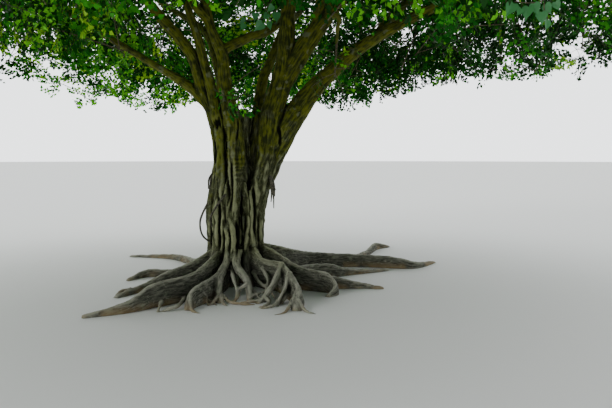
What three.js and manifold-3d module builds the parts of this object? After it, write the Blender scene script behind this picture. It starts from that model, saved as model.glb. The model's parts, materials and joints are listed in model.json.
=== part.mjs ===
// A banyan tree: a trunk of fused stems on spreading surface roots, with a wide umbrella crown.
// Millimetres, +Z up. The origin is on the ground under the trunk, +X is to the right and +Y is away.

import * as THREE from "three";
import { mergeVertices } from "three/addons/utils/BufferGeometryUtils.js";
import Module from "manifold-3d";

const wasm = await Module();
wasm.setup();

// Clearance left between two pieces that touch, and what each cutter is grown by to leave it.
const GAP = 0.4;

// How far a wall-like root's section reaches under the ground before it is cut off flat, and how
// much wider its foot is than its middle, as a share.
const WALL_DEPTH = 45;
const WALL_FLARE = 0.3;

// The block of ground that cuts every limb off flat at the origin's height.
const GROUND = { width: 9000, depth: 1000 };

// Heights at which a stem's place in plan is given, from just under the ground to the fork.
const FORK = 2150;
const LEVELS = [-60, 400, 1000, 1600, FORK];

// The crown is a dome with a hollow under it, cut off at the height of its lowest leaves.
const CROWN = {
  centre: new THREE.Vector3(200, 0, 3700),
  reach: new THREE.Vector3(6000, 5500, 5600),
  hollow: new THREE.Vector3(2500, 2400, 1600),
  underside: 2700,
  tilt: -0.03,
};

// Places in plan where a spray hangs below the underside, how wide it is and how far it drops.
const DROOPS = [
  { place: [1940, -4750], reach: 700, drop: 620 },
  { place: [480, -3300], reach: 450, drop: 330 },
];

// Places in plan where the underside is higher, how wide each is and how far it is lifted.
const LIFTS = [
  { place: [4200, 3500], reach: 2200, lift: 620 },
  { place: [-3600, 2200], reach: 1700, lift: 800 },
  { place: [-2900, 500], reach: 1600, lift: 300 },
  { place: [-600, -4300], reach: 1300, lift: 450 },
];

// The masses of foliage sit in rings at this share of the crown's reach, each named for its place.
const RING_SHARE = 0.8;
const RINGS = [
  {
    level: "low",
    lift: 12,
    bearing: 0,
    places: [
      "right",
      "right_back",
      "back",
      "left_back",
      "left",
      "left_front",
      "front_left",
      "front",
      "front_right",
    ],
  },
  {
    level: "middle",
    lift: 44,
    bearing: 20,
    places: ["right", "back", "left_back", "left", "front", "front_right"],
  },
  { level: "top", lift: 78, bearing: 10, places: ["right", "left"] },
];

// Two small masses hang clear of the dome: a drooping spray beside a bough, and shoots in the fork.
const SMALL_MASSES = [
  { name: "foliage_hanging_spray", centre: [1230, -330, 2620], reach: [340, 250, 460], leaf: 210 },
  { name: "foliage_fork_shoots", centre: [70, -400, 2290], reach: [190, 160, 180], leaf: 130 },
];

// A mass keeps this far inside its own space, and its neighbours keep outside a small mass grown by
// this share.
const SPACE_MARGIN = 4;
const SMALL_MARGIN = 1.05;

// A leaf here stands for a whole spray. Its length can vary by a share, and its width, thickness and
// widest place are shares of it too. It droops, and is turned at random from its twig's own course.
const LEAF = {
  length: 1120,
  shortest: 0.85,
  spread: 0.3,
  width: 0.58,
  thickness: 0.022,
  belly: 0.42,
  droop: -0.35,
  wobble: 0.6,
  swing: 50,
};

// Where on its twig each leaf starts and how far it is turned, how often it is tried, how far apart
// leaves stay as a share of their length, and how far they stay from any limb.
const LEAF_PLACES = [
  { share: 0.97, turn: 0 },
  { share: 0.78, turn: 70 },
  { share: 0.6, turn: -70 },
];
const LEAF_TRIES = 9;
const LEAF_SPACING = 0.56;
const LEAF_ROOM = 30;

// Points over a blade at which it is tried, along it and across it.
const BLADE_AHEAD = [0.15, LEAF.belly, 0.7, 1];
const BLADE_ACROSS = [-0.5, -0.25, 0, 0.25, 0.5];

// A twig arches up by a share of its span, is tried at points along it, and is as wide at its foot
// and its end as these shares of its stem.
const TWIGS_PER_MASS = 6;
const SMALL_TWIGS = 4;
const TWIG = { arch: 0.08, tried: [0.3, 0.5, 0.7, 0.85, 1], foot: 0.55, end: 0.22 };

// A twig's place is the best of some random points, drawn within this reach and in this band of the
// dome, up to a number of tries.
const CANDIDATES = 14;
const DRAWS = 400;
const OUT_BAND = [0.68, 0.97];
const DRAW_REACH = 2900;

// A mass's stem carries on from its bough a little narrower, bends for a share of its span, ends
// just past the mass's centre, and bears twigs at the given shares.
const MASS_STEM = { width: 0.85, taper: 0.6, bend: 0.45, end: 1.1 };
const STEM_SHARES = [0.3, 0.45, 0.6, 0.75, 0.9, 0.99];
const SHOOT_FOOT = [40, -230, 2080];
const SHOOT_WIDTH = 34;

// How far towards its mass's centre a bough reaches, and how much a straight one arches.
const BOUGH_SHARE = 0.6;
const HANGING_SHARE = 0.3;
const SIDE_ARCH = 0.1;

// How far apart points down a limb are, for keeping foliage clear of it.
const CLEAR_STEP = 60;

// Each stem rises from its foot to the fork and goes on as a bough to the mass that it carries.
const STEMS = [
  {
    name: "bough_left_high",
    plan: [[-410, 30], [-300, 20], [-290, -10], [-200, 0], [-300, 10]],
    out: [[-430, 0, 2450], [-530, -30, 2810], [-1135, -120, 3580]],
    widths: [250, 180, 170, 170, 180, 155, 80],
    mass: "foliage_middle_left",
  },
  {
    name: "bough_left_inner",
    plan: [[-270, -330], [-200, -240], [-180, -200], [-150, -150], [-240, -110]],
    out: [[-290, -110, 2400], [-365, -110, 2690], [-600, -40, 3450]],
    widths: [210, 150, 140, 140, 150, 80],
    mass: "foliage_middle_left_back",
  },
  {
    name: "bough_mossy",
    plan: [[-60, -390], [-50, -270], [-40, -210], [5, -180], [-60, -170]],
    out: [[-120, -165, 2450], [-150, -150, 2810], [-320, -120, 3260]],
    widths: [240, 190, 200, 225, 200, 150, 80],
    mass: "foliage_top_left",
  },
  {
    name: "bough_upright",
    plan: [[300, -120], [215, -60], [230, -60], [390, -40], [460, -40]],
    out: [[565, -40, 2480], [620, -40, 2750], [660, -10, 3400]],
    widths: [260, 200, 210, 280, 290, 250, 110],
    mass: "foliage_top_right",
  },
  {
    name: "bough_right_low",
    plan: [[270, 170], [200, 110], [240, 60], [440, 10], [765, -10]],
    out: [[930, -20, 2370], [1090, -20, 2540], [1650, 20, 3000]],
    widths: [250, 200, 210, 290, 290, 210, 90],
    mass: "foliage_low_right",
  },
  {
    name: "bough_back_right",
    plan: [[90, 340], [80, 220], [100, 180], [150, 150], [250, 180]],
    out: [[320, 230, 2560], [400, 320, 2780], [540, 700, 3250]],
    widths: [220, 190, 180, 160, 150, 80],
    mass: "foliage_low_back",
  },
  {
    name: "bough_back_left",
    plan: [[-210, 310], [-160, 210], [-160, 170], [-140, 140], [-170, 200]],
    out: [[-220, 330, 2450], [-330, 620, 2850], [-560, 1150, 3350]],
    widths: [240, 200, 190, 180, 170, 80],
    mass: "foliage_low_left_back",
  },
];

// A side bough leaves its parent at a share of the parent's own course.
const SIDE_BOUGHS = [
  {
    name: "bough_left_low",
    parent: "bough_left_high",
    at: 0.5,
    out: [[-474, 20, 2350], [-665, 40, 2510], [-900, 60, 2650]],
    widths: [150, 120, 70],
    mass: "foliage_low_left",
  },
  {
    name: "bough_right_diagonal",
    parent: "bough_upright",
    at: 0.6,
    out: [[780, -60, 2810], [1100, -80, 3270], [1430, -100, 3680]],
    widths: [250, 235, 170, 90],
    mass: "foliage_middle_right",
  },
  {
    name: "bough_crossing",
    parent: "bough_mossy",
    at: 0.77,
    out: [[110, 60, 3060], [510, 280, 3290]],
    widths: [130, 110, 70],
    mass: "foliage_middle_back",
  },
  {
    name: "bough_right_forward",
    parent: "bough_right_diagonal",
    at: 0.42,
    out: [[1100, -200, 3600]],
    widths: [130, 120, 80],
    mass: "foliage_middle_front_right",
  },
  {
    name: "bough_mossy_fork",
    parent: "bough_mossy",
    at: 0.87,
    out: [[-520, -210, 3520]],
    widths: [120, 110, 70],
    mass: "foliage_middle_front",
  },
  {
    name: "bough_left_forward",
    parent: "bough_left_high",
    at: 0.9,
    out: [],
    widths: [110, 90, 60],
    mass: "foliage_low_left_front",
  },
  {
    name: "bough_front_left",
    parent: "bough_mossy_fork",
    at: 0.62,
    out: [],
    widths: [100, 85, 60],
    mass: "foliage_low_front_left",
  },
  {
    name: "bough_front",
    parent: "bough_upright",
    at: 0.93,
    out: [],
    widths: [120, 100, 60],
    mass: "foliage_low_front",
  },
  {
    name: "bough_front_right",
    parent: "bough_right_diagonal",
    at: 0.84,
    out: [],
    widths: [110, 95, 60],
    mass: "foliage_low_front_right",
  },
  {
    name: "bough_right_back",
    parent: "bough_right_low",
    at: 0.88,
    out: [],
    widths: [130, 110, 70],
    mass: "foliage_low_right_back",
  },
  {
    name: "bough_hanging",
    parent: "bough_right_diagonal",
    at: 0.5,
    out: [[1270, -230, 3280]],
    widths: [70, 55, 40],
    mass: "foliage_hanging_spray",
  },
];

// The heart of the trunk, and the slender roots that have grown down it and fused to its face.
const CORE = {
  plan: [[0, 0], [0, 0], [0, 0], [-20, 10], [70, 50]],
  widths: [540, 430, 380, 330, 260],
};
const FLUTES = [
  { bearing: 205, top: 1900 },
  { bearing: 228, top: 1300 },
  { bearing: 250, top: 1900 },
  { bearing: 296, top: 1250 },
  { bearing: 318, top: 1150 },
  { bearing: 350, top: 1200 },
  { bearing: 40, top: 1900 },
  { bearing: 100, top: 1500 },
  { bearing: 155, top: 1900 },
];
const FLUTE = { widths: [110, 85, 60], foot: 470, waist: [300, 265], narrowing: 0.92, top: [215, 190] };

// A surface root runs out as a wall with a rounded ridge: each point is a place in plan and a ridge
// height there, and the widths are at the trunk and at the tip.
const WALL_ROOTS = [
  {
    name: "root_front_left_long",
    ridge: [
      [-190, -210, 430],
      [-400, -1030, 285],
      [-740, -1420, 245],
      [-960, -1640, 110],
      [-1330, -1840, 22],
    ],
    widths: [170, 75],
  },
  {
    name: "root_left_upper",
    ridge: [
      [-290, -50, 430],
      [-560, -250, 270],
      [-800, -430, 190],
      [-1000, -600, 100],
      [-1260, -1030, 22],
    ],
    widths: [160, 85],
  },
  {
    name: "root_left_arch",
    ridge: [[-520, -160, 170], [-900, 120, 105], [-1230, 140, 95], [-1400, -120, 22]],
    widths: [100, 65],
  },
  {
    name: "root_back_left_long",
    ridge: [[-240, 120, 360], [-560, 620, 150], [-1150, 1480, 75], [-1900, 1700, 22]],
    widths: [150, 65],
  },
  {
    name: "root_front_left_short",
    ridge: [
      [-90, -280, 380],
      [-150, -900, 250],
      [-250, -1250, 225],
      [-325, -1450, 180],
      [-335, -1570, 30],
    ],
    widths: [130, 85],
  },
  {
    name: "root_front_right",
    ridge: [
      [200, -150, 500],
      [350, -450, 355],
      [565, -650, 345],
      [700, -1000, 290],
      [800, -1350, 180],
      [780, -1590, 25],
    ],
    widths: [190, 95],
  },
  {
    name: "root_right_middle",
    ridge: [
      [240, -40, 500],
      [544, -200, 370],
      [792, -550, 280],
      [1149, -750, 220],
      [1215, -860, 120],
      [1120, -980, 25],
    ],
    widths: [130, 70],
  },
  {
    name: "root_right_long",
    ridge: [
      [240, 60, 480],
      [620, 400, 350],
      [900, 700, 245],
      [1550, 900, 175],
      [2130, 760, 160],
      [2420, 760, 90],
      [2790, 1200, 22],
    ],
    widths: [180, 80],
  },
  {
    name: "root_right_spur",
    ridge: [[1480, 880, 120], [1850, 1850, 80], [2080, 2450, 110], [2330, 2700, 25]],
    widths: [100, 65],
  },
  {
    name: "root_right_arch",
    ridge: [
      [700, -400, 240],
      [1000, 0, 200],
      [1220, 120, 175],
      [1430, 250, 90],
      [2020, 560, 22],
    ],
    widths: [105, 60],
  },
  {
    name: "root_right_outer",
    ridge: [[1060, -690, 200], [1240, -560, 150], [1440, -520, 90], [1810, -560, 22]],
    widths: [95, 60],
  },
  {
    name: "root_back_right",
    ridge: [[150, 200, 400], [480, 760, 200], [980, 1380, 120], [1270, 1900, 22]],
    widths: [160, 75],
  },
  {
    name: "root_back",
    ridge: [[-20, 240, 420], [80, 820, 230], [-60, 1400, 130], [120, 2050, 22]],
    widths: [160, 75],
  },
  {
    name: "root_back_left",
    ridge: [[-160, 200, 400], [-330, 800, 190], [-260, 1350, 100], [-560, 1850, 22]],
    widths: [150, 70],
  },
];

// A prop root is a slim round strut from the flare down to the ground in front of it.
const PROP_ROOTS = [
  {
    name: "root_prop_left",
    course: [[-50, -260, 480], [-90, -620, 255], [-95, -1000, 165], [-60, -1260, -30]],
    widths: [90, 65],
  },
  {
    name: "root_prop_middle",
    course: [[30, -260, 440], [50, -560, 290], [225, -1000, 155], [270, -1160, -30]],
    widths: [105, 65],
  },
  {
    name: "root_prop_right",
    course: [[600, -740, 330], [520, -1060, 165], [425, -1190, 45], [350, -1290, -30]],
    widths: [75, 50],
  },
  {
    name: "root_prop_outer",
    course: [[700, -1020, 290], [655, -1190, 150], [590, -1330, -30]],
    widths: [70, 48],
  },
];

// Slender roots that hang free of the trunk, each a fan of strands from one foot.
const AERIAL_ROOTS = [
  {
    name: "aerial_root_loop",
    courses: [
      [
        [-240, -60, 1210],
        [-372, -70, 990],
        [-465, -80, 760],
        [-425, -70, 590],
        [-330, -60, 480],
      ],
    ],
    widths: [30, 22],
  },
  {
    name: "aerial_root_diagonal",
    courses: [[[-110, -280, 1120], [-190, -345, 990], [-300, -290, 830], [-300, -150, 700]]],
    widths: [30, 24],
  },
  {
    name: "aerial_root_tuft",
    courses: [
      [[400, -90, 1400], [448, -130, 1240], [465, -135, 1080], [474, -135, 930]],
      [[400, -90, 1400], [455, -140, 1250], [500, -145, 1160]],
    ],
    widths: [45, 12],
  },
];

// Colours, roughness and metalness of the bark, the mossy boughs and the leaves.
const FINISH = {
  trunk: new THREE.MeshStandardMaterial({ color: 0x7a705c, roughness: 0.9, metalness: 0 }),
  root: new THREE.MeshStandardMaterial({ color: 0x8a7d68, roughness: 0.92, metalness: 0 }),
  bough: new THREE.MeshStandardMaterial({ color: 0x77713c, roughness: 0.9, metalness: 0 }),
  foliage: new THREE.MeshStandardMaterial({ color: 0x4f7a26, roughness: 0.6, metalness: 0 }),
};

const tree = new THREE.Group();
tree.name = "banyan_tree";

// Repeatable random numbers from 0 to 1, the same run after run for the same seed.
function seeded(seed) {
  let state = seed >>> 0;
  return () => {
    state = (state + 0x6d2b79f5) >>> 0;
    let mixed = Math.imul(state ^ (state >>> 15), state | 1);
    mixed ^= mixed + Math.imul(mixed ^ (mixed >>> 7), mixed | 61);
    return ((mixed ^ (mixed >>> 14)) >>> 0) / 4294967296;
  };
}

// Reads a list of numbers as a line of even steps, at a share from 0 to 1.
function along(values, share) {
  const place = Math.min(Math.max(share, 0), 1) * (values.length - 1);
  const step = Math.min(Math.floor(place), values.length - 2);
  return THREE.MathUtils.lerp(values[step], values[step + 1], place - step);
}

function vector(point) {
  return new THREE.Vector3(point[0], point[1], point[2]);
}

function smoothCurve(points) {
  return new THREE.CatmullRomCurve3(points, false, "centripetal");
}

// A closed solid from a geometry whose shared vertices are merged.
function solidFrom(geometry) {
  geometry.deleteAttribute("normal");
  geometry.deleteAttribute("uv");
  const merged = mergeVertices(geometry, 1e-4);
  return new wasm.Manifold(
    new wasm.Mesh({
      numProp: 3,
      vertProperties: new Float32Array(merged.getAttribute("position").array),
      triVerts: new Uint32Array(merged.index.array),
    }),
  );
}

// The tube round one stretch of a limb's curve. A wall-like limb keeps its section upright and
// reaches from its ridge to under the ground; any other limb is round.
function tube(limb, grown = 0) {
  const cylinder = new THREE.CylinderGeometry(1, 1, 1, limb.sides, limb.steps);
  cylinder.deleteAttribute("normal");
  cylinder.deleteAttribute("uv");
  const skin = mergeVertices(cylinder, 1e-4);
  const stations = [];
  let side = new THREE.Vector3(1, 0, 0);
  for (let step = 0; step <= limb.steps; step++) {
    const share = step / limb.steps;
    const place = THREE.MathUtils.lerp(limb.from, limb.to, share);
    const ahead = limb.curve.getTangent(place);
    const centre = limb.curve.getPoint(place);
    if (step === 0) centre.addScaledVector(ahead, -grown);
    if (step === limb.steps) centre.addScaledVector(ahead, grown);
    const half = along(limb.widths, share) / 2 + grown;
    if (limb.wall) {
      ahead.setZ(0).normalize();
      side = new THREE.Vector3(ahead.y, -ahead.x, 0);
      const ridge = centre.z + grown;
      const depth = (ridge + WALL_DEPTH) / 2;
      centre.setZ(ridge - depth);
      stations.push({ centre, side, up: new THREE.Vector3(0, 0, 1), half, depth });
    } else {
      side = side.clone().addScaledVector(ahead, -side.dot(ahead)).normalize();
      stations.push({ centre, side, up: side.clone().cross(ahead), half, depth: half });
    }
  }
  const vertices = skin.getAttribute("position");
  for (let i = 0; i < vertices.count; i++) {
    const station = stations[Math.round((vertices.getY(i) + 0.5) * limb.steps)];
    const across = vertices.getX(i) * (limb.wall ? 1 - WALL_FLARE * vertices.getZ(i) : 1);
    const point = station.centre.clone();
    point.addScaledVector(station.side, across * station.half);
    point.addScaledVector(station.up, vertices.getZ(i) * station.depth);
    vertices.setXYZ(i, point.x, point.y, point.z);
  }
  return solidFrom(skin);
}

function joined(solids) {
  return solids.reduce((whole, solid) => whole.add(solid));
}

// The largest body of a solid, with its loose scraps and sealed hollows dropped.
function largestBody(solid) {
  return solid.decompose().reduce((best, body) => (body.volume() > best.volume() ? body : best));
}

function addNode(name, solid, finish) {
  const made = solid.getMesh();
  const geometry = new THREE.BufferGeometry();
  const corners = new THREE.BufferAttribute(new Float32Array(made.vertProperties), 3);
  geometry.setAttribute("position", corners);
  geometry.setIndex(new THREE.BufferAttribute(new Uint32Array(made.triVerts), 1));
  geometry.computeVertexNormals();
  const mesh = new THREE.Mesh(geometry, finish);
  mesh.name = name;
  tree.add(mesh);
}

// The centres of the crown's masses, on a dome inside the crown.
const masses = new Map();
for (const ring of RINGS) {
  ring.places.forEach((place, index) => {
    const bearing = THREE.MathUtils.degToRad(ring.bearing + (360 * index) / ring.places.length);
    const lift = THREE.MathUtils.degToRad(ring.lift);
    const centre = new THREE.Vector3(
      Math.cos(bearing) * Math.cos(lift),
      Math.sin(bearing) * Math.cos(lift),
      Math.sin(lift),
    );
    centre.multiply(CROWN.reach).multiplyScalar(RING_SHARE).add(CROWN.centre);
    const name = "foliage_" + ring.level + "_" + place;
    masses.set(name, { name, centre, leaf: LEAF.length, seed: masses.size + 11 });
  });
}
for (const small of SMALL_MASSES) {
  masses.set(small.name, {
    name: small.name,
    centre: vector(small.centre),
    reach: vector(small.reach),
    leaf: small.leaf,
    seed: masses.size + 11,
  });
}

// Every stem's curve runs from its foot through the fork to where its bough enters its mass.
const limbs = new Map();
const trunkParts = [];
for (const stem of STEMS) {
  const points = stem.plan.map(([x, y], level) => new THREE.Vector3(x, y, LEVELS[level]));
  points.push(...stem.out.map(vector));
  points.push(points.at(-1).clone().lerp(masses.get(stem.mass).centre, BOUGH_SHARE));
  const curve = smoothCurve(points);
  const fork = (LEVELS.length - 1) / (points.length - 1);
  const atFoot = stem.widths.slice(0, LEVELS.length);
  const onBough = stem.widths.slice(LEVELS.length - 1);
  trunkParts.push({ curve, from: 0, to: fork, widths: atFoot, sides: 7, steps: 6 });
  const bough = { curve, from: fork, to: 1, widths: onBough, sides: 6, steps: 7, mass: stem.mass };
  limbs.set(stem.name, bough);
}
trunkParts.push({
  curve: smoothCurve(CORE.plan.map(([x, y], level) => new THREE.Vector3(x, y, LEVELS[level]))),
  from: 0,
  to: 1,
  widths: CORE.widths,
  sides: 8,
  steps: 4,
});

// The flutes stand round the trunk, some ending higher than others.
for (const flute of FLUTES) {
  const bearing = THREE.MathUtils.degToRad(flute.bearing);
  const round = (across, away, height) =>
    new THREE.Vector3(Math.cos(bearing) * across, Math.sin(bearing) * away, height);
  const curve = smoothCurve([
    round(FLUTE.foot, FLUTE.foot, LEVELS[0]),
    round(FLUTE.waist[0], FLUTE.waist[1], LEVELS[1]),
    round(FLUTE.waist[0] * FLUTE.narrowing, FLUTE.waist[1] * FLUTE.narrowing, LEVELS[2]),
    round(FLUTE.top[0], FLUTE.top[1], flute.top),
  ]);
  trunkParts.push({ curve, from: 0, to: 1, widths: FLUTE.widths, sides: 5, steps: 4 });
}

const block = new THREE.BoxGeometry(GROUND.width, GROUND.width, GROUND.depth);
const ground = solidFrom(block.translate(0, 0, -GROUND.depth / 2));
const trunk = joined(trunkParts.map((part) => tube(part))).subtract(ground);
addNode("trunk", largestBody(trunk), FINISH.trunk);

// Each limb is cut clear of all that is already made, which leaves the clearance between them.
let standing = joined(trunkParts.map((part) => tube(part, GAP)));
function addLimb(name, parts, finish) {
  const solid = joined(parts.map((part) => tube(part))).subtract(standing).subtract(ground);
  addNode(name, largestBody(solid), finish);
  standing = standing.add(joined(parts.map((part) => tube(part, GAP))));
}

for (const stem of STEMS) addLimb(stem.name, [limbs.get(stem.name)], FINISH.bough);
for (const bough of SIDE_BOUGHS) {
  const parent = limbs.get(bough.parent);
  const points = [parent.curve.getPoint(bough.at)];
  points.push(...bough.out.map(vector));
  const mass = masses.get(bough.mass);
  points.push(points.at(-1).clone().lerp(mass.centre, mass.reach ? HANGING_SHARE : BOUGH_SHARE));
  if (points.length === 2) {
    const middle = points[0].clone().lerp(points[1], 0.5);
    middle.z += points[0].distanceTo(points[1]) * SIDE_ARCH;
    points.splice(1, 0, middle);
  }
  const limb = {
    curve: smoothCurve(points),
    from: 0,
    to: 1,
    widths: bough.widths,
    sides: 6,
    steps: 2 * points.length - 1,
    mass: bough.mass,
  };
  limbs.set(bough.name, limb);
  addLimb(bough.name, [limb], FINISH.bough);
}

for (const root of WALL_ROOTS) {
  const curve = smoothCurve(root.ridge.map(vector));
  const steps = 2 * root.ridge.length - 3;
  const limb = { curve, from: 0, to: 1, widths: root.widths, sides: 6, steps, wall: true };
  limbs.set(root.name, limb);
  addLimb(root.name, [limb], FINISH.root);
}
for (const root of PROP_ROOTS) {
  const curve = smoothCurve(root.course.map(vector));
  const limb = { curve, from: 0, to: 1, widths: root.widths, sides: 6, steps: 5 };
  limbs.set(root.name, limb);
  addLimb(root.name, [limb], FINISH.root);
}
for (const root of AERIAL_ROOTS) {
  const strands = root.courses.map((course) => ({
    curve: smoothCurve(course.map(vector)),
    from: 0,
    to: 1,
    widths: root.widths,
    sides: 4,
    steps: 6,
  }));
  addLimb(root.name, strands, FINISH.root);
}

// Points down the middle of every limb, with its half width there, for keeping foliage clear.
const limbPoints = [];
for (const limb of [...limbs.values(), ...trunkParts]) {
  const count = Math.ceil((limb.curve.getLength() * (limb.to - limb.from)) / CLEAR_STEP);
  for (let i = 0; i <= count; i++) {
    const point = limb.curve.getPoint(THREE.MathUtils.lerp(limb.from, limb.to, i / count));
    limbPoints.push({ point, half: along(limb.widths, i / count) / 2 });
  }
}

function clearOfLimbs(point, room) {
  return limbPoints.every((near) => near.point.distanceTo(point) > near.half + room);
}

// How near a point is in plan to a place, from 1 on it to 0 at its reach or beyond.
function nearness(point, { place, reach }) {
  return Math.max(0, 1 - Math.hypot(point.x - place[0], point.y - place[1]) / reach);
}

// The height of the lowest leaves, which hang further down where a spray droops, and are higher
// where the underside is lifted.
function undersideAt(point) {
  const drops = DROOPS.map((spray) => spray.drop * nearness(point, spray));
  const lifts = LIFTS.map((opening) => opening.lift * nearness(point, opening));
  return CROWN.underside + CROWN.tilt * point.y - Math.max(...drops) + Math.max(...lifts);
}

// A mass's own space: a small one's is an oval, and any other's is the part of the dome that lies
// nearer to its centre than to any other's, outside the hollow and above the underside.
function inSpace(mass, point) {
  if (mass.reach) return point.clone().sub(mass.centre).divide(mass.reach).length() < 1;
  const out = point.clone().sub(CROWN.centre);
  if (out.clone().divide(CROWN.reach).length() > 1) return false;
  if (out.clone().divide(CROWN.hollow).length() < 1 && out.z < CROWN.hollow.z) return false;
  if (point.z < undersideAt(point)) return false;
  for (const other of masses.values()) {
    if (other === mass) continue;
    if (other.reach) {
      const apart = point.clone().sub(other.centre).divide(other.reach).length();
      if (apart < SMALL_MARGIN) return false;
      continue;
    }
    const towards = other.centre.clone().sub(mass.centre);
    const halfway = towards.length() / 2;
    const reached = point.clone().sub(mass.centre).dot(towards.normalize());
    if (reached > halfway - SPACE_MARGIN) return false;
  }
  return true;
}

// One leaf: a flattened diamond, widest near its stalk, from a root on the middle of its twig.
function leafSolid(leaf) {
  const shape = new THREE.OctahedronGeometry(1);
  const across = leaf.direction.clone().cross(leaf.normal);
  const corners = shape.getAttribute("position");
  for (let i = 0; i < corners.count; i++) {
    const ahead = Math.abs(corners.getY(i)) > 0.5 ? (corners.getY(i) + 1) / 2 : LEAF.belly;
    const point = leaf.root.clone().addScaledVector(leaf.direction, ahead * leaf.length);
    point.addScaledVector(across, (corners.getX(i) * leaf.length * LEAF.width) / 2);
    point.addScaledVector(leaf.normal, (corners.getZ(i) * leaf.length * LEAF.thickness) / 2);
    corners.setXYZ(i, point.x, point.y, point.z);
  }
  return solidFrom(shape);
}

// Whether a leaf stays inside its mass's space and clear of every limb, tried at points over its blade.
function leafFits(mass, leaf) {
  const across = leaf.direction.clone().cross(leaf.normal);
  for (const ahead of BLADE_AHEAD) {
    const full = ahead < LEAF.belly ? ahead / LEAF.belly : (1 - ahead) / (1 - LEAF.belly);
    const spread = full * LEAF.width;
    for (const sideways of BLADE_ACROSS) {
      const point = leaf.root.clone().addScaledVector(leaf.direction, ahead * leaf.length);
      point.addScaledVector(across, sideways * spread * leaf.length);
      if (!inSpace(mass, point) || !clearOfLimbs(point, LEAF_ROOM)) return false;
    }
  }
  return true;
}

// The way out of a mass's space at a point: from the dome's middle, or from a small mass's own.
function outward(mass, point) {
  const middle = mass.reach ? mass.centre : CROWN.centre;
  const reach = mass.reach ?? CROWN.reach;
  return point.clone().sub(middle).divide(reach).divide(reach).normalize();
}

// How far out a point is in its mass's space, from 0 in the middle to 1 at the edge.
function outness(mass, point) {
  const middle = mass.reach ? mass.centre : CROWN.centre;
  return point.clone().sub(middle).divide(mass.reach ?? CROWN.reach).length();
}

// The next twig's place: of some random points in the space, the one furthest from those in use.
function nextPlace(mass, taken, random) {
  let best = null;
  let bestRoom = -1;
  const reach = mass.reach ?? new THREE.Vector3(DRAW_REACH, DRAW_REACH, DRAW_REACH);
  for (let tries = 0, found = 0; tries < DRAWS && found < CANDIDATES; tries++) {
    const point = new THREE.Vector3(random() * 2 - 1, random() * 2 - 1, random() * 2 - 1);
    point.multiply(reach).add(mass.centre);
    const out = outness(mass, point);
    if (!mass.reach && (out < OUT_BAND[0] || out > OUT_BAND[1])) continue;
    if (!inSpace(mass, point)) continue;
    found += 1;
    const room = Math.min(...taken.map((other) => other.distanceTo(point)));
    if (room > bestRoom) {
      bestRoom = room;
      best = point;
    }
  }
  return best;
}

// A twig's leaves: one at its end and others to either side, each turned until it fits.
function leavesOn(mass, twig, others, random) {
  const leaves = [];
  for (const { share, turn } of LEAF_PLACES) {
    const root = twig.curve.getPoint(share);
    for (let attempt = 0; attempt < LEAF_TRIES; attempt++) {
      const wobble = new THREE.Vector3(random() - 0.5, random() - 0.5, random() - 0.5);
      const normal = outward(mass, root).addScaledVector(wobble, LEAF.wobble).normalize();
      const ahead = twig.curve.getTangent(share).add(new THREE.Vector3(0, 0, LEAF.droop));
      const swing = (random() - 0.5) * LEAF.swing * (attempt + 1);
      const direction = ahead.addScaledVector(normal, -ahead.dot(normal)).normalize();
      direction.applyAxisAngle(normal, THREE.MathUtils.degToRad(turn + swing));
      const length = mass.leaf * (LEAF.shortest + LEAF.spread * random());
      const leaf = { root, direction, normal, length };
      leaf.middle = root.clone().addScaledVector(direction, leaf.length * LEAF.belly);
      const crowded = [...others, ...leaves].some(
        (other) => other.middle.distanceTo(leaf.middle) < LEAF_SPACING * leaf.length,
      );
      if (!crowded && leafFits(mass, leaf)) {
        leaves.push(leaf);
        break;
      }
    }
  }
  return leaves;
}

// A mass grows from one stem, which carries on from its bough's tip. Each twig sets off from the
// nearest point of the stem to a place of its own, and bears its leaves.
function growMass(mass) {
  const random = seeded(mass.seed);
  const bough = [...limbs.values()].find((limb) => limb.mass === mass.name);
  const start = bough ? bough.curve.getPoint(1) : vector(SHOOT_FOOT);
  const heading = bough ? bough.curve.getTangent(1) : mass.centre.clone().sub(start).normalize();
  const width = bough ? bough.widths.at(-1) * MASS_STEM.width : SHOOT_WIDTH;
  const span = start.distanceTo(mass.centre);
  const bend = start.clone().addScaledVector(heading, span * MASS_STEM.bend);
  const stem = smoothCurve([start, bend, start.clone().lerp(mass.centre, MASS_STEM.end)]);
  const stemWidths = [width, width * MASS_STEM.taper];
  const twigWidths = [width * TWIG.foot, width * TWIG.end];
  const wood = [{ curve: stem, from: 0, to: 1, widths: stemWidths, sides: 4, steps: 3 }];
  const leaves = [];
  const taken = STEM_SHARES.map((share) => stem.getPoint(share));
  const joints = taken.map((point) => point.clone());
  for (let count = mass.reach ? SMALL_TWIGS : TWIGS_PER_MASS; count > 0; count--) {
    const place = nextPlace(mass, taken, random);
    if (!place) continue;
    taken.push(place);
    const nearest = joints.reduce((a, b) => (a.distanceTo(place) < b.distanceTo(place) ? a : b));
    const middle = nearest.clone().lerp(place, 0.5);
    middle.z += nearest.distanceTo(place) * TWIG.arch;
    const curve = smoothCurve([nearest, middle, place]);
    const tried = TWIG.tried.map((share) => curve.getPoint(share));
    if (!tried.every((point) => inSpace(mass, point) && clearOfLimbs(point, LEAF_ROOM))) continue;
    const twig = { curve, from: 0, to: 1, widths: twigWidths, sides: 3, steps: 2 };
    wood.push(twig);
    leaves.push(...leavesOn(mass, twig, leaves, random));
  }
  const whole = joined([...wood.map((part) => tube(part)), ...leaves.map(leafSolid)]);
  addNode(mass.name, largestBody(whole.subtract(standing)), FINISH.foliage);
}

for (const mass of masses.values()) growMass(mass);

export default tree;
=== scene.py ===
import json
import math

import bmesh
import bpy
import numpy as np
from mathutils import Matrix, Vector, noise
from mathutils.bvhtree import BVHTree
from mathutils.kdtree import KDTree

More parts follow.
